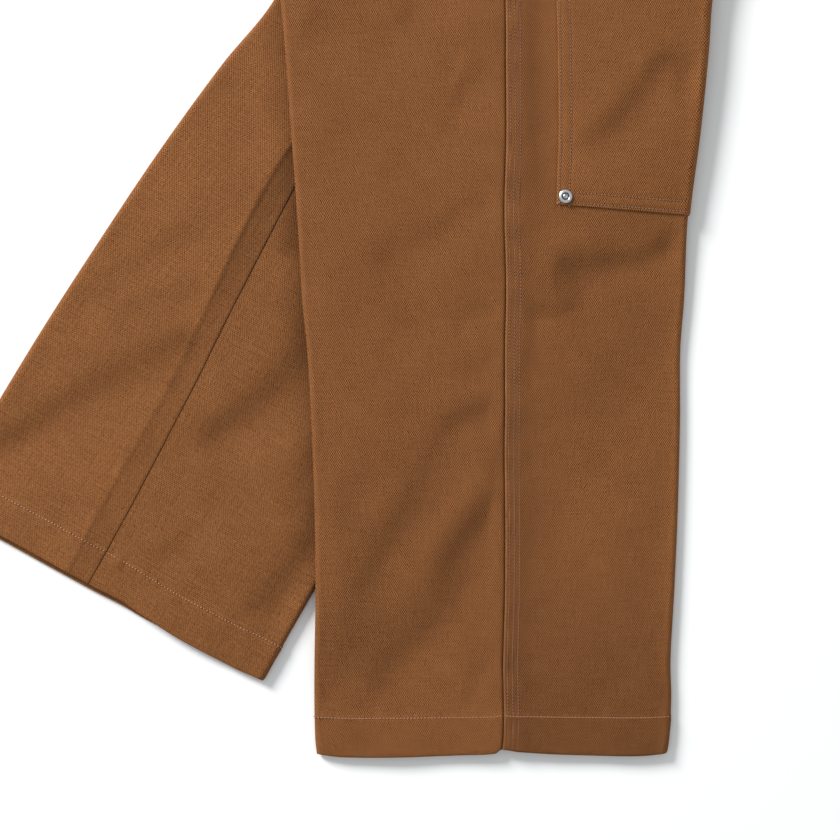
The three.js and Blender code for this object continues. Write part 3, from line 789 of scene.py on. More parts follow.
def sewn_relief(leg, fold, along, across, from_seam, from_inner):
    """How the seams lift the upper side of a panel, or draw it down."""
    if leg["side"] > 0 and fold == FRONT:
        return lap_height(from_seam) + seam_pucker(from_seam, along)
    if leg["side"] > 0:
        return under_lap(from_seam, across) + seam_pucker(from_seam + 8, along)
    pressed = beside_inseam(from_inner, along) if fold == BACK else hem_crossing(from_inner, along)
    rolled = -0.06 * np.exp(-from_inner / 0.3)
    return rolled + pressed + 0.3 * seam_pucker(from_inner + 6, along)


def right_front_painted_light_and_tone(along, across, from_seam, faces_up):
    """Painted light along the fold and a painted highlight on the lapped edge, a painted shadow beside
    the knee patch, and darker low on the leg.
    """
    off_patch = 9 * (along < PATCH_BOTTOM) + 9 * (along > PATCH_TOP)
    beside = np.maximum(0, PATCH_INSET - from_seam) + off_patch
    # A painted shadow along the knee patch's edge.
    patch_edge_shadow = 0.2 * near(beside, 0, 0.9) * (from_seam < PATCH_INSET + 1)
    low = 0.22 * (1 - smooth((along - 10) / 150))
    # A painted highlight on the lap's folded edge.
    lap_edge_highlight = 0.26 * near(from_seam, 0.8, 0.5)
    # Painted light along the front fold, where its round turns away from the light.
    return 0.2 * near(across, 2, 6) + faces_up * (lap_edge_highlight - patch_edge_shadow - low)


def right_back_painted_shade_and_tone(across, from_seam, faces_up):
    """Painted shade in the groove below the lap, and a little darker towards the fold."""
    # Painted shade in the groove under the lap's edge.
    groove_shade = 0.5 * faces_up * np.exp(-from_seam / 0.7)
    return -groove_shade - 0.035 * (1 - smooth((across - 15) / 70))


def left_painted_shade_and_tone(fold, along, from_inner, faces_up):
    """Painted shade in the inseam, over the pressed allowance and along its edge, and darker on the
    hem's lump.
    """
    if fold == FRONT:
        lump = 0.1 * hem_crossing(from_inner, along)
        # Painted shade in the inseam.
        return 0.04 - faces_up * (0.3 * np.exp(-from_inner / 0.4) + lump)
    reach = allowance_reach(along)
    # Painted shade over the pressed allowance and along its edge, and in the inseam.
    inside = 1 - smooth((from_inner - reach + 2) / 3)
    pressed = inside * (0.16 + 0.16 * smooth((along - 140) / 100))
    edge = 0.06 * near(from_inner, reach - 0.8, 1.3)
    return 0.1 - faces_up * (0.7 * np.exp(-from_inner / 0.5) + pressed + edge)


def panel_painted_light_and_tone(leg, fold, along, across, from_seam, from_inner, x, y):
    """How much paler a panel is painted, where above 0, or darker, mostly as painted light and shade.
    """
    faces_up = leg["side"] * across > 0
    # Painted shade in the troughs of the folds.
    painted_light_and_tone = 0.035 * np.clip(creases_of(leg, fold, x, y), -3, 2)
    if fold == BACK:
        # Painted shade along the back panel's fold, to damp the light on its round.
        painted_light_and_tone = painted_light_and_tone - 0.05 * near(across, 0, 7)
    if leg["side"] < 0:
        # A painted shadow on the left leg beside and under the right leg.
        painted_light_and_tone = painted_light_and_tone - 0.2 * (1 - covered(x - 2, y))
        return painted_light_and_tone + left_painted_shade_and_tone(fold, along, from_inner, faces_up)
    if fold == FRONT:
        return painted_light_and_tone + right_front_painted_light_and_tone(along, across, from_seam, faces_up)
    return painted_light_and_tone + right_back_painted_shade_and_tone(across, from_seam, faces_up)


def flat_size(across, along, length):
    """A panel laid flat: its greatest width and its length, and its area, in metres."""
    width = across[:, 0] - across[:, -1]
    return (float(width.max()) * MM, length * MM), float(np.trapz(width, along)) * MM * MM


def leg_panel(name, leg, fold, material):
    """One panel from hem to waist. Its lower side is plain, but for the rounded edge of the hem."""
    steps = panel_rows()
    across = panel_columns(leg, fold, steps)
    along = steps[:, None] * np.ones_like(across)
    from_seam = across[:, :1] - across
    from_inner = across - across[:, -1:]
    hem = hem_height(along) + hem_pucker(along, across)
    upper = hem + sewn_relief(leg, fold, along, across, from_seam, from_inner)
    lower = np.minimum(hem, 0) * (along < HEM_ROUND)
    out = np.where(leg["side"] * across > 0, upper, lower)
    hem_layers = 0.9 * (1 - smooth((along - HEM_ROW) / 2))
    outer_face = cloth_point(leg, fold, along, across, out)
    inner_face = cloth_point(leg, fold, along, across, -CLOTH - hem_layers)
    grain = np.stack([across, along], axis=-1)
    x, y = outer_face[..., 0], outer_face[..., 1]
    painted_light_and_tone = panel_painted_light_and_tone(leg, fold, along, across, from_seam, from_inner, x, y)
    piece = cloth_piece(name, outer_face, inner_face, grain, painted_light_and_tone, material)
    return piece, *flat_size(across, steps, WAIST_SEAM)


for name, fold in (("right_front", FRONT), ("right_back", BACK)):
    panel, flat, area = leg_panel(name + "_cloth", RIGHT_LEG, fold, brown_duck)
    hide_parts(name)

# The left leg and the left half of the body, of the same duck. It lies beneath the right leg,
# swung towards the back, with its plain inseam on top and the seam allowance pressed to one side.

# [along, distance in from the front fold] of each seam
LEFT_OUTSEAM = [[0, 117], [272, 118], [493, 116], [640, 160], [770, 206], [850, 232], [1000, 240]]
LEFT_INSEAM = [
    [0, 130],
    [61, 130.9],
    [140, 133.3],
    [217, 139.6],
    [283, 146],
    [310, 147.6],
    [464, 142],
    [600, 130],
    [770, 150],
]
LEFT_LEG = {"rows": LEFT_LEG_ROWS, "side": -1, "outseam": LEFT_OUTSEAM, "inseam": LEFT_INSEAM}

# Soft folds that face up, given as those of the right leg are
LEFT_CREASES = [
    (3.5, 11, [(-199, 278), (-209, 273), (-221, 267), (-240, 257), (-271, 240), (-294, 226),
               (-321, 208), (-346, 196)]),
    (0.84, 8, [(-198, 347), (-217, 338), (-249, 316), (-282, 307)]),
    (0.63, 7, [(-196, 309), (-208, 303), (-240, 294), (-262, 280)]),
    (3.5, 12, [(-118, 330), (-132, 283), (-140, 250), (-177, 221), (-202, 203)]),
    (2.1, 9, [(-126, 388), (-136, 352), (-144, 321)]),
    (1.47, 9, [(-111, 217), (-134, 185), (-147, 153)]),
    (3.4, 14, [(-100, 200), (-112, 172), (-140, 126), (-176, 73), (-196, 30)]),
    (0.84, 7, [(-179, 185), (-202, 152), (-232, 126)]),
]

# How far the lower layer of the left leg shows beyond its hem, and how far that hem hangs
# below a straight line: [x, drop]
UNDER_LAYER = 2.6
LEFT_HEM_LINE = [
    [-372, -3.4],
    [-329, -3.4],
    [-299, -2.8],
    [-270, -2.3],
    [-250, -2.5],
    [-240, -1.2],
    [-230, 0],
    [-211, 1.7],
    [-172, 1.7],
    [-162, 0.6],
    [-140, 0],
]

lower_duck = duck_cloth("brown_duck_lower_leg", regular=0.6)

for name, fold in (("left_front", FRONT), ("left_back", BACK)):
    panel, flat, area = leg_panel(name + "_cloth", LEFT_LEG, fold, lower_duck)
    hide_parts(name)

# The double knees: a second layer of duck over each front from above the shin to the thigh,
# wrapped round the front fold, its edges turned under and sewn down with two rows.

# How wide the round of a turned edge is, and how far in the rows of stitching lie
PATCH_EDGE = 0.7
PATCH_ROWS = (2.0, 8.5)
# How far the lower edge stands above the straight line at the seam, and hangs below it at the fold
PATCH_SLANT = (3.2, -3.4)
# Places of the mesh's lines from a patch's edge
NEAR_EDGE = np.array([0.0, 0.15, 0.5, 1.0, 1.6, 2.2, 3.0, 5.0, 7.7, 8.5, 9.3, 11.0])
EDGE_BAND = 14


def edge_drop(distance):
    """A turned edge comes down in a small round to the cloth beneath it."""
    drop = -0.8 * (1 - edge_round(distance, PATCH_EDGE)) - 0.35 * np.exp(-distance / 1.8)
    for row in PATCH_ROWS:
        drop = drop - 0.25 * near(distance, row, 0.6)
    return drop


def sewn_height(inset):
    """How high a row of stitches lies, near the edge of a patch."""
    return ON_CLOTH + edge_drop(inset) + 0.15


def patch_slant(across, first):
    """The lower edge comes down a little from the seam to the front fold."""
    return mix(*PATCH_SLANT, np.clip((first - across) / np.maximum(first, 1), 0, 1))


def patch_rows_along(bottom, top, step):
    """Heights of a patch's rows, close together at both ends."""
    middle = np.arange(bottom + EDGE_BAND, top - EDGE_BAND, step)
    return np.concatenate([bottom + NEAR_EDGE, middle, top - NEAR_EDGE[::-1]])


def patch_columns(first, middle, last):
    """Places across a patch, from one side edge to the other."""
    sides = first[:, None] - NEAR_EDGE, last[:, None] + NEAR_EDGE[::-1]
    return np.concatenate([sides[0], *middle, sides[1]], axis=1)


def round_the_fold(first, last):
    """Places between the side bands of a knee patch: above the front fold, round it and below."""
    above = mix(first[:, None] - EDGE_BAND, FOLD_ARC + 1.5, np.linspace(0, 1, 20)[None, :])
    turn = mix(FOLD_ARC + 1.5, -FOLD_ARC, np.linspace(0, 1, 14)[None, 1:])
    below = mix(-FOLD_ARC, last[:, None] + EDGE_BAND, np.linspace(0, 1, 18)[None, 1:])
    return above, turn * np.ones_like(first)[:, None], below


def knee_patch(name, leg, material):
    """The second layer of one knee. Its sides follow the seams of the front."""
    steps = patch_rows_along(PATCH_BOTTOM, PATCH_TOP, ROW_STEP)
    outer, inner = across_range(leg, FRONT, steps)
    first, last = outer - PATCH_INSET, inner + PATCH_INSET
    across = patch_columns(first, round_the_fold(first, last), last)
    level = steps[:, None] * np.ones_like(across)
    ends = np.minimum(level - PATCH_BOTTOM, PATCH_TOP - level)
    sides = np.minimum(across[:, :1] - across, across - across[:, -1:])
    along = level
    if leg["side"] > 0:
        along = level + patch_slant(across, first[:, None]) * (1 - smooth((level - PATCH_BOTTOM) / 200))
    out = np.maximum(0.3, ON_CLOTH + np.minimum(edge_drop(ends), edge_drop(sides)))
    outer_face = cloth_point(leg, FRONT, along, across, out)
    inner_face = cloth_point(leg, FRONT, along, across, 0.15)
    grain = np.stack([across + 300, along + 77], axis=-1)
    loose = creases_of(leg, FRONT, outer_face[..., 0], outer_face[..., 1])
    # Painted shade in the folds, and painted light along the front fold.
    painted_light_and_tone = 0.05 + 0.035 * np.clip(loose, -3, 2) + 0.2 * near(across, 2, 6)
    # Painted highlights along the turned side and end edges.
    painted_light_and_tone = painted_light_and_tone + 0.14 * near(sides, 0.6, 0.5) + 0.36 * near(ends, 0.7, 0.6)
    piece = cloth_piece(name, outer_face, inner_face, grain, painted_light_and_tone, material)
    return piece, *flat_size(across, steps, PATCH_TOP - PATCH_BOTTOM)


for name, leg, slot, material in (
    ("right", RIGHT_LEG, "duck", brown_duck),
    ("left", LEFT_LEG, "duck_lower_leg", lower_duck),
):
    patch, flat, area = knee_patch(name + "_knee_patch_cloth", leg, material)
    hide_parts(name + "_knee_patch")
    name + "_front"

# The sewing: rows of lockstitch in a thread close to the cloth, a shade paler. Three rows
# hold the lapped outseam, two the knee patch and one each hem. Each row is one joined mesh.
STITCH_PITCH = 2.25
STITCH_LENGTH = 1.55
STITCH_RADIUS = 0.28
STITCH_SIDES = 6
HOLE_RADIUS = 0.42
# The rings of one stitch: place along it, thickness and height
STITCH_RINGS = [
    (-0.5, 0.35, -0.25),
    (-0.32, 0.85, 0.1),
    (0.0, 1.0, 0.22),
    (0.32, 0.85, 0.1),
    (0.5, 0.35, -0.25),
]


def thread_material(name, lit, shaded):
    shader = Shader(name)
    where = shader.node("ShaderNodeTexCoord", {}, {}, "Object")
    fibre = shader.noise(where, 900.0, 2.0)
    uneven = shader.noise(where, 60.0, 2.0)
    tone = (fibre * 0.7 + uneven * 0.6 - 0.15).clipped()
    shader.join(shader.surface.inputs["Base Color"], shader.blend(tone, shaded, lit))
    shader.surface.inputs["Roughness"].default_value = 0.62
    return shader.material


tan_thread = thread_material("tan_thread", linear(184, 134, 101), linear(120, 74, 46))
pale_thread = thread_material("pale_thread", linear(208, 160, 128), linear(150, 102, 72))
# Dark discs of painted shade stand in for the needle holes.
needle_hole_shade = thread_material("needle_hole_shade", linear(70, 40, 22), linear(48, 26, 14))


def sewn_row(leg, fold, along, across, out):
    """Centre, direction and up of each stitch on a line over the cloth."""
    line = cloth_point(leg, fold, along, across, out)
    step = np.linalg.norm(np.diff(line, axis=0), axis=1)
    length = np.concatenate([[0], np.cumsum(step)])
    places = np.arange(0.8, length[-1] - 0.5, STITCH_PITCH)
    at = np.interp(places, length, along), np.interp(places, length, across)
    raised = np.interp(places, length, np.broadcast_to(out, along.shape))
    centre = cloth_point(leg, fold, at[0], at[1], raised)
    ahead = np.interp(places + 0.5, length, along), np.interp(places + 0.5, length, across)
    direction = cloth_point(leg, fold, ahead[0], ahead[1], raised) - centre
    up = cloth_point(leg, fold, at[0], at[1], raised + 0.5) - centre
    return centre, direction, up


def stitch_frame(direction, up):
    """Unit directions along each stitch, upright from the cloth and to its side."""
    direction = direction / np.linalg.norm(direction, axis=1, keepdims=True)
    up = up - direction * np.sum(up * direction, axis=1, keepdims=True)
    up = up / np.linalg.norm(up, axis=1, keepdims=True)
    return direction, up, np.cross(direction, up)


def stitch_points(centre, direction, up, beside):
    """The rings of each stitch: a short bent tube, thin at its ends and a little slanted."""
    slant = 0.12 * np.sin(np.arange(len(centre)) * 2.7)
    points = []
    for reach, size, height in STITCH_RINGS:
        middle = centre + direction * reach * STITCH_LENGTH + up * height
        middle = middle + beside * (reach * slant)[:, None]
        for side in range(STITCH_SIDES):
            spin = 2 * math.pi * side / STITCH_SIDES
            offset = beside * math.cos(spin) + up * math.sin(spin)
            points.append(middle + offset * STITCH_RADIUS * size)
    return np.stack(points, axis=1).reshape(-1, 3)


def hole_points(centre, direction, up, beside):
    """The rim of a small dark disc after each stitch, painted shade where the needle went through."""
    middle = (centre + direction * STITCH_PITCH / 2 - up * 0.07)[:, None]
    spin = (np.arange(STITCH_SIDES) * 2 * math.pi / STITCH_SIDES)[None, :, None]
    rim = np.cos(spin) * direction[:, None] + np.sin(spin) * beside[:, None]
    return (middle + HOLE_RADIUS * rim).reshape(-1, 3)


def stitch_faces(count):
    """The faces round the tube of every stitch, and those that close its ends."""
    each = len(STITCH_RINGS) * STITCH_SIDES
    tube = []
    for ring in range(len(STITCH_RINGS) - 1):
        for side in range(STITCH_SIDES):
            a = ring * STITCH_SIDES + side
            b = ring * STITCH_SIDES + (side + 1) % STITCH_SIDES
            tube.append((a, b, b + STITCH_SIDES, a + STITCH_SIDES))
    ends = [range(STITCH_SIDES - 1, -1, -1), range(each - STITCH_SIDES, each)]
    start = each * np.arange(count)[:, None, None]
    tubes = (np.array(tube)[None] + start).reshape(-1, 4)
    caps = (np.array(ends)[None] + start).reshape(-1, STITCH_SIDES)
    return tubes.tolist() + caps.tolist()


def stitches(name, rows, thread=tan_thread):
    """One mesh of small raised loops of thread, with a dark disc of painted shade for the needle hole
    after each.
    """
    centre, direction, up = (np.concatenate(parts) for parts in zip(*rows))
    direction, up, beside = stitch_frame(direction, up)
    loops = stitch_points(centre, direction, up, beside)
    holes = hole_points(centre, direction, up, beside)
    points = np.concatenate([loops, holes]) * MM + HEM_CORNER
    faces = stitch_faces(len(centre))
    discs = (len(loops) + np.arange(len(holes))).reshape(-1, STITCH_SIDES)
    mesh = bpy.data.meshes.new(name)
    mesh.from_pydata(points.tolist(), [], faces + discs.tolist())
    mesh.shade_smooth()
    mesh.materials.append(thread)
    mesh.materials.append(needle_hole_shade)
    which = np.zeros(len(mesh.polygons), int)
    which[len(faces) :] = 1
    mesh.polygons.foreach_set("material_index", which)
    piece = bpy.data.objects.new(name, mesh)
    bpy.context.scene.collection.objects.link(piece)
    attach(piece, "root")
    return piece


def outseam_sewing(from_seam):
    """One row of the lapped outseam, from hem to waist."""
    along = np.linspace(1.5, WAIST_SEAM - 1, 400)
    across = across_range(RIGHT_LEG, FRONT, along)[0] - from_seam
    height = lap_height(np.full_like(along, from_seam)) + 0.2
    return sewn_row(RIGHT_LEG, FRONT, along, across, height)


def hem_sewing(leg, fold):
    """The hem's row across the upper side of a panel, and a little past its fold."""
    outer, inner = across_range(leg, fold, np.array([HEM_ROW]))
    seam = outer[0] if leg["side"] > 0 else -inner[0]
    across = np.linspace(seam - 1, -3, 260)
    lapped = lap_rise(seam - across) if leg["side"] > 0 and fold == FRONT else 0
    return sewn_row(leg, fold, np.full_like(across, HEM_ROW), across * leg["side"], 0.28 + lapped)


def upper_patch_edge(leg, along):
    """The side edge of a knee patch that faces up: by the outseam, or by the left inseam."""
    outer, inner = across_range(leg, FRONT, along)
    return outer - PATCH_INSET if leg["side"] > 0 else inner + PATCH_INSET


def patch_sewing(leg):
    """Two rows inside a knee patch's upper side edge, and inside both its ends."""
    side = leg["side"]
    down = np.linspace(PATCH_BOTTOM + 1.5, PATCH_TOP - 1.5, 400)
    lines = []
    for inset in PATCH_ROWS:
        height = sewn_height(inset)
        lines.append(sewn_row(leg, FRONT, down, upper_patch_edge(leg, down) - side * inset, height))
        for level, slanted in ((PATCH_BOTTOM + inset, side > 0), (PATCH_TOP - inset, False)):
            edge = upper_patch_edge(leg, np.array([level]))[0]
            across = np.linspace(edge - side * 1.5, -FOLD_ARC, 260)
            along = level + slanted * patch_slant(across, edge)
            lines.append(sewn_row(leg, FRONT, along, across, height))
    return lines


hem_rows = [hem_sewing(leg, fold) for leg in (RIGHT_LEG, LEFT_LEG) for fold in (FRONT, BACK)]
stitches("outseam_stitches", [outseam_sewing(row) for row in SEAM_ROWS])
stitches("hem_stitches", hem_rows, pale_thread)
stitches("knee_patch_stitches", patch_sewing(LEFT_LEG) + patch_sewing(RIGHT_LEG))

# The rivet at the lower corner of the right knee patch: pressed steel, a shallow dome with
# a sunk ring and a small nub in the middle, set through both layers of duck.


def steel(name, bright, dull):
    shader = Shader(name)
    where = shader.node("ShaderNodeTexCoord", {}, {}, "Object")
    cloudy = shader.noise(where, 700.0, 3.0)
    scratched = shader.noise(shader.stretched(where, (3000.0, 500.0, 500.0)), 1.0, 2.0)
    tone = (cloudy * 0.8 + scratched * 0.4 - 0.1).clipped()
    shader.join(shader.surface.inputs["Base Color"], shader.blend(tone, dull, bright))
    shader.join(shader.surface.inputs["Roughness"], cloudy * 0.2 + 0.24)
    shader.surface.inputs["Metallic"].default_value = 1.0
    return shader.material


pressed_steel = steel("pressed_steel", linear(232, 234, 236), linear(196, 198, 200))
dark_steel = steel("dark_steel", linear(120, 118, 116), linear(70, 68, 66))


def turned_points(profile, sides):
    """Rings of points after a profile of [radius, height], and its two ends on the axis."""
    turns = np.arange(sides) * 2 * math.pi / sides
    rings = []
    for radius, height in profile[1:-1]:
        rings.append([radius * np.cos(turns), radius * np.sin(turns), height + 0 * turns])
    ends = [[0, 0, profile[0][1]], [0, 0, profile[-1][1]]]
    return np.concatenate([np.transpose(rings, (0, 2, 1)).reshape(-1, 3), ends])


def turned_faces(rings, sides):
    """The faces between the rings, and the fans that close the lower and the upper end."""
    faces = []
    for i in range(rings - 1):
        for j in range(sides):
            k = (j + 1) % sides
            faces.append((i * sides + j, i * sides + k, (i + 1) * sides + k, (i + 1) * sides + j))
    low, high = rings * sides, rings * sides + 1
    for j in range(sides):
        k = (j + 1) % sides
        faces.append((low, k, j))
        faces.append((high, (rings - 1) * sides + j, (rings - 1) * sides + k))
    return faces


def turned_piece(name, profile, tarnished, seat, node, sides=72):
    """A profile of [radius, height] spun about an upright line through its seat.
    The rings numbered in tarnished have darkened."""
    mesh = bpy.data.meshes.new(name)
    points = turned_points(profile, sides) * MM + seat
    mesh.from_pydata(points.tolist(), [], turned_faces(len(profile) - 2, sides))
    mesh.shade_smooth()
    mesh.materials.append(pressed_steel)
    mesh.materials.append(dark_steel)
    for face in mesh.polygons:
        face.material_index = int(face.index // sides in tarnished)
    piece = bpy.data.objects.new(name, mesh)
    bpy.context.scene.collection.objects.link(piece)
    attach(piece, "root")
    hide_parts(node)
    return piece


def seat_of(node):
    """The middle of a round node's underside."""
    low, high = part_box(node)
    return np.array([(low[0] + high[0]) / 2, (low[1] + high[1]) / 2, low[2]])


RIVET_PROFILE = [
    [0, 0],
    [4.1, 0],
    [4.42, 0.15],
    [4.48, 0.4],
    [4.35, 0.75],
    [4.0, 1.05],
    [3.5, 1.3],
    [2.85, 1.42],
    [2.5, 1.3],
    [2.3, 0.8],
    [1.7, 0.8],
    [1.5, 1.2],
    [1.2, 1.38],
    [0.9, 1.38],
    [0.6, 1.1],
    [0, 1.1],
]
RIVET_TARNISH = (7, 8, 9, 12)
# From the solid's seat to where the drawn cloth carries the rivet, in metres
RIVET_SHIFT = [-0.0032, -0.0018, -0.0004]
rivet_seat = seat_of("right_knee_rivet") + np.array(RIVET_SHIFT)
turned_piece("knee_rivet_head", RIVET_PROFILE, RIVET_TARNISH, rivet_seat, "right_knee_rivet")

# The hip pockets: plain patches of duck with a turned hem at the mouth, sewn round the
# other three sides with two rows, and backed by the front and the back panel.
POCKET_BOTTOM = 800.0
POCKET_HEM = 20.0
# How far a pocket's fold-side edge is measured in from the outseam, on each panel
POCKET_STEP = {FRONT: PATCH_INSET, BACK: 24.0}


def pocket_sides(fold, along, near_seam, fold_share):
    """The side edges of a pocket: by the outseam, and part of the way to the fold."""
    outer = across_range(RIGHT_LEG, fold, along)[0]
    return outer - near_seam, mix(outer - POCKET_STEP[fold], FOLD_ARC, fold_share)


def pocket_sewing(fold, top, near_seam, fold_share):
    """Two rows inside the sides and the bottom, and one along the hem of the mouth."""
    lines = []
    places = np.linspace(POCKET_BOTTOM + 1.5, top - 1.5, 200)
    first, last = pocket_sides(fold, places, near_seam, fold_share)
    for inset in PATCH_ROWS:
        for edge in (first - inset, last + inset):
            lines.append(sewn_row(RIGHT_LEG, fold, places, edge, sewn_height(inset)))
    for level in [POCKET_BOTTOM + inset for inset in PATCH_ROWS] + [top - POCKET_HEM]:
        first, last = pocket_sides(fold, np.array([level]), near_seam, fold_share)
        span = np.linspace(first[0] - 1.5, last[0] + 1.5, 200)
        lines.append(sewn_row(RIGHT_LEG, fold, np.full_like(span, level), span, ON_CLOTH))
    return lines


def hip_pocket(name, fold, top, near_seam, fold_share):
    """A patch pocket on one panel. It reaches fold_share of the way from outseam to fold."""
    steps = patch_rows_along(POCKET_BOTTOM, top, 5.0)
    first, last = pocket_sides(fold, steps, near_seam, fold_share)
    between = np.linspace(0, 1, 26)[None, :]
    middle = mix(first[:, None] - EDGE_BAND, last[:, None] + EDGE_BAND, between)
    across = patch_columns(first, [middle], last)
    along = steps[:, None] * np.ones_like(across)
    sides = np.minimum(across[:, :1] - across, across - across[:, -1:])
    mouth = top - along
    mouth_edge = edge_round(mouth, 1.2)
    hemmed = 0.35 * (1 - smooth((mouth - POCKET_HEM - 1) / 2)) - 0.25 * near(mouth, POCKET_HEM, 0.7)
    out = ON_CLOTH + np.minimum(edge_drop(along - POCKET_BOTTOM), edge_drop(sides))
    out = np.maximum(0.3, out + hemmed - 0.9 * (1 - mouth_edge))
    outer_face = cloth_point(RIGHT_LEG, fold, along, across, out)
    inner_face = cloth_point(RIGHT_LEG, fold, along, across, 0.15)
    grain = np.stack([across + 517, along + 91], axis=-1)
    painted_light_and_tone = 0.25 * (1 - mouth_edge) + 0.15 * near(sides, 0.5, 0.8)
    piece = cloth_piece(name + "_cloth", outer_face, inner_face, grain, painted_light_and_tone, brown_duck)
    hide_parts(name)
    stitches(name + "_stitches", pocket_sewing(fold, top, near_seam, fold_share))


hip_pocket("right_front_pocket", FRONT, top=975.0, near_seam=10.0, fold_share=0.6)
hip_pocket("right_back_pocket", BACK, top=950.0, near_seam=24.0, fold_share=2 / 3)

# The waistband: a folded strip of duck round the top, sewn close to both of its edges.
# Its left end laps over its right end at the front, where the button holds it.
WAISTBAND_DEPTH = 40.0
WAISTBAND_WALL = 2.0
WAISTBAND_HEIGHT = 6.6
# From the front fold: the end beneath the lap, where it starts and stops rising to the top
# layer, and the end of the lap itself
UNDER_END = 8
RISE_START = 34
RISE_STOP = 60
LAP_END = 30


def waist_place(from_front, z, up):
    """A place at the waist: along the waist seam from the front, and up from that seam."""
    left, right, width = leg_width(RIGHT_LEG, WAIST_SEAM)
    slope = np.array([(right[0] - left[0]) / width, (right[1] - left[1]) / width])
    x = right[0] - slope[0] * from_front - slope[1] * up
    y = right[1] - slope[1] * from_front + slope[0] * up
    return np.stack(np.broadcast_arrays(x, y, z), axis=-1)


def waistband_line():
    """The middle line of the band in plan and height, from its under end round to the lap."""
    width = float(leg_width(RIGHT_LEG, WAIST_SEAM)[2])
    top = WAISTBAND_HEIGHT - WAISTBAND_WALL / 2
    bottom = WAISTBAND_WALL / 2
    middle = WAISTBAND_HEIGHT / 2
    round_in = middle - bottom
    under = np.linspace(UNDER_END, RISE_START, 6)
    ramp = np.linspace(0, 1, 9)[1:]
    turns = np.radians(np.linspace(90, -90, 15))[1:-1]
    rise = RISE_START + (RISE_STOP - RISE_START) * ramp
    top_run = np.linspace(RISE_STOP, width - round_in, 60)[1:]
    bottom_run = np.linspace(width - round_in, round_in, 60)
    lap = np.linspace(round_in, LAP_END, 8)
    across = [under, rise, top_run, width - round_in + round_in * np.cos(turns), bottom_run]
    height = [0 * under + middle, mix(middle, top, smooth(ramp)), 0 * top_run + top]
    height += [middle + round_in * np.sin(turns), 0 * bottom_run + bottom]
    across += [round_in - round_in * np.cos(turns), lap]
    height += [middle - round_in * np.sin(turns), 0 * lap + top]
    return np.concatenate(across), np.concatenate(height)


def moved_out(line, distance):
    """The line moved square to itself."""
    across, height = line
    dx, dz = np.gradient(across), np.gradient(height)
    length = np.hypot(dx, dz)
    return across - dz / length * distance, height + dx / length * distance


# Places of the mesh's rows up the band, close together at both edges
BAND_UP = [0, 0.1, 0.4, 0.9, 1.5, 2.0, 2.5, 5, 10, 15, 20, 25, 30, 35, 37.5, 38, 38.5, 39.1, 39.6, 39.9]
BAND_UP = np.array(BAND_UP + [WAISTBAND_DEPTH])
BAND_ROW = 2.0


def waistband_cloth():
    """The strip stands out from its middle line on both sides, rounded at its two edges."""
    line = waistband_line()
    edge = np.minimum(BAND_UP, WAISTBAND_DEPTH - BAND_UP)
    swell = 0.2 + 0.8 * edge_round(edge, 1.0) - 0.2 * near(edge, BAND_ROW, 0.6)
    faces = []
    for side in (1, -1):
        rows = [waist_place(*moved_out(line, side * out), up) for up, out in zip(BAND_UP, swell)]
        faces.append(np.stack(rows))
    length = np.concatenate([[0], np.cumsum(np.hypot(*np.diff(line, axis=1)))])
    grain = np.stack(np.broadcast_arrays(BAND_UP[:, None] + 900, length[None, :]), axis=-1)
    painted_light_and_tone = 0.3 * (1 - swell)[:, None] * np.ones_like(grain[..., 0])
    piece = cloth_piece("waistband_cloth", *faces, grain, painted_light_and_tone, brown_duck)
    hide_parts("waistband")


def band_row(level):
    """A row of stitches along the upper side of the waistband."""
    width = float(leg_width(RIGHT_LEG, WAIST_SEAM)[2])
    on_lap = np.arange(6.0, LAP_END - 1, STITCH_PITCH)
    on_band = np.arange(RISE_STOP + 2, width - 4, STITCH_PITCH)
    places = np.concatenate([on_lap, on_band])
    height = WAISTBAND_HEIGHT - 0.12
    centre = waist_place(places, height, level)
    direction = waist_place(places + 1, height, level) - centre
    up = np.zeros_like(centre) + np.array([0, 0, 1.0])
    return centre, direction, up


waistband_cloth()
stitches("waistband_stitches", [band_row(BAND_ROW), band_row(WAISTBAND_DEPTH - BAND_ROW)])

# The belt loops: narrow strips of folded duck over the waistband, with a row of stitches
# near each edge, tacked down above the band and below it.
LOOP_WIDTH = 12.0
# Its ends, below and above the waist seam
LOOP_BOTTOM = -16.0
LOOP_TOP = 39.0
# Places of the mesh's lines, across the loop and up it
LOOP_ACROSS = np.array([-6, -5.9, -5.6, -5, -4.2, -3.4, -2, 0, 2, 3.4, 4.2, 5, 5.6, 5.9, 6])
LOOP_UP = [LOOP_BOTTOM, -15.6, -15, -13, -10, -7, -5, -3, 0, 5, 10, 15, 20, 25, 30, 34, 37, 38.2, 38.8]
LOOP_UP = np.array(LOOP_UP + [LOOP_TOP])
# How far it stands off what is beneath it: heights up the loop, and the gap there
LOOP_STANDS = ([-16, -10, -3, 3, 20, 36, 39], [0.0, 0.2, 0.5, 0.5, 1.3, 0.3, 0.0])


def loop_sewing(from_front, under):
    """A row of stitches near each edge of a belt loop."""
    lines = []
    for side in (-3.8, 3.8):
        places = np.arange(LOOP_BOTTOM + 2, LOOP_TOP - 1, STITCH_PITCH)
        level = np.interp(places, LOOP_UP, under) + 1.15
        centre = waist_place(from_front + side, level, places)
        level_ahead = np.interp(places + 1, LOOP_UP, under) + 1.15
        ahead = waist_place(from_front + side, level_ahead, places + 1)
        lines.append((centre, ahead - centre, np.zeros_like(centre) + np.array([0, 0, 1.0])))
    return lines


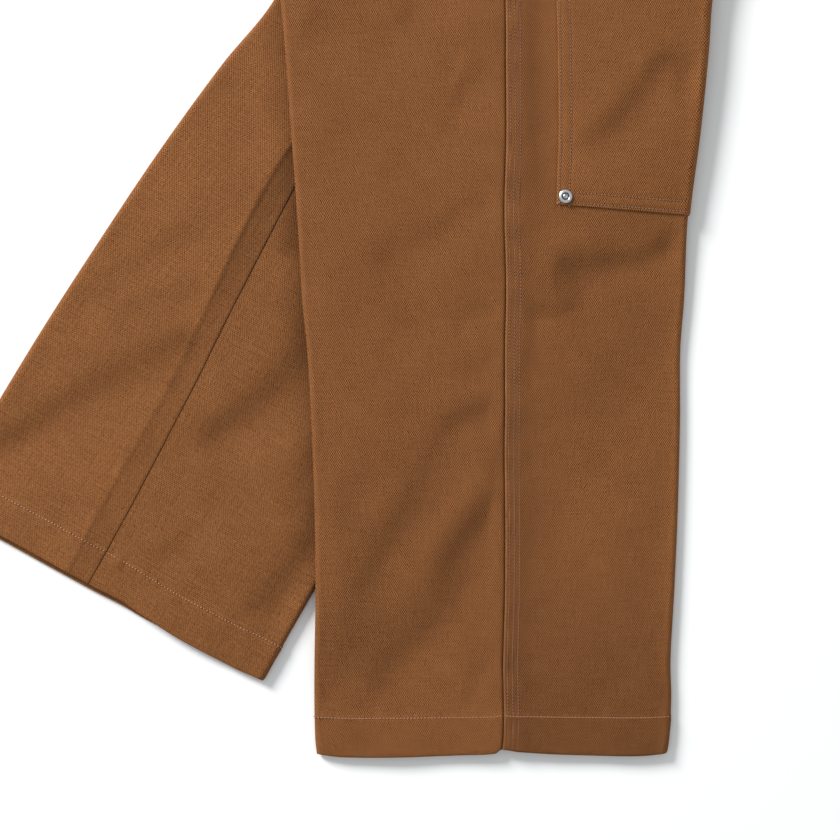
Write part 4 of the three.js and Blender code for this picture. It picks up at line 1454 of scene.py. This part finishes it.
def belt_loop(name, from_front):
    """A loop over the waistband, from_front being its distance from the front fold."""
    panel_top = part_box(name)[0][2] / MM
    band_top = WAISTBAND_HEIGHT + SEAM_GAP
    across, up = LOOP_ACROSS[None, :], LOOP_UP[:, None]
    under = mix(panel_top, band_top, smooth((LOOP_UP + 12) / 7)) + np.interp(LOOP_UP, *LOOP_STANDS)
    edge = np.minimum(LOOP_WIDTH / 2 - np.abs(across), np.minimum(up - LOOP_BOTTOM, LOOP_TOP - up))
    swell = 0.25 + 1.05 * edge_round(edge, 1.0) - 0.2 * near(LOOP_WIDTH / 2 - np.abs(across), 2.2, 0.6)
    base = under[:, None] + 0 * swell
    outer_face = waist_place(from_front + across, base + swell, up)
    inner_face = waist_place(from_front + across, base, up)
    grain = np.stack(np.broadcast_arrays(across + 1300, up + from_front), axis=-1)
    painted_light_and_tone = 0.25 * np.exp(-edge)
    piece = cloth_piece(name + "_cloth", outer_face, inner_face, grain, painted_light_and_tone, brown_duck)
    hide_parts(name)
    stitches(name + "_stitches", loop_sewing(from_front, under))


body_width = float(leg_width(RIGHT_LEG, WAIST_SEAM)[2])
belt_loop("belt_loop_front", from_front=118.0)
belt_loop("belt_loop_side", from_front=body_width - 205.0)
belt_loop("belt_loop_back", from_front=body_width - 60.0)

# The fly placket: a flat strip of duck inside the front edge, sewn to the left front.
# It is hidden while the pants lie closed.
FLY_BOTTOM = 884.0
FLY_TOP = 997.0
FLY_INSET = 8.0
# Heights from the hem, and how far the placket reaches in from the fold there
FLY_REACH = ([FLY_BOTTOM, 920, FLY_TOP], [34, 46, 46])
# How deep under the left front's outer face its two faces lie
FLY_DEPTHS = (1.4, 2.3)


def fly_placket():
    """A flat strip under the left front's cloth, narrower at its lower end."""
    steps = np.linspace(FLY_BOTTOM, FLY_TOP, 30)
    reach = np.interp(steps, *FLY_REACH)
    inward = FLY_INSET + (reach[:, None] - FLY_INSET) * np.linspace(0, 1, 16)[None, :]
    across = FOLD_ARC + inward - FOLD_WIDTH
    along = steps[:, None] * np.ones_like(across)
    faces = [cloth_point(LEFT_LEG, FRONT, along, across, -depth) for depth in FLY_DEPTHS]
    grain = np.stack([across + 700, along], axis=-1)
    piece = cloth_piece("fly_placket_cloth", *faces, grain, 0 * across, brown_duck)
    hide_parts("fly_placket")


fly_placket()

# The waist button: a pressed steel tack button with a raised rim and a plain face.
BUTTON_PROFILE = [
    [0, 0],
    [4.2, 0],
    [4.25, 0.7],
    [8.0, 0.95],
    [8.4, 1.3],
    [8.5, 1.8],
    [8.3, 2.4],
    [7.8, 2.75],
    [7.2, 2.75],
    [6.7, 2.5],
    [6.3, 2.2],
    [4.5, 2.3],
    [3.2, 2.5],
    [2.6, 2.45],
    [1.5, 2.35],
    [0, 2.35],
]
turned_piece("waist_button_head", BUTTON_PROFILE, (8, 9), seat_of("waist_button"), "waist_button")
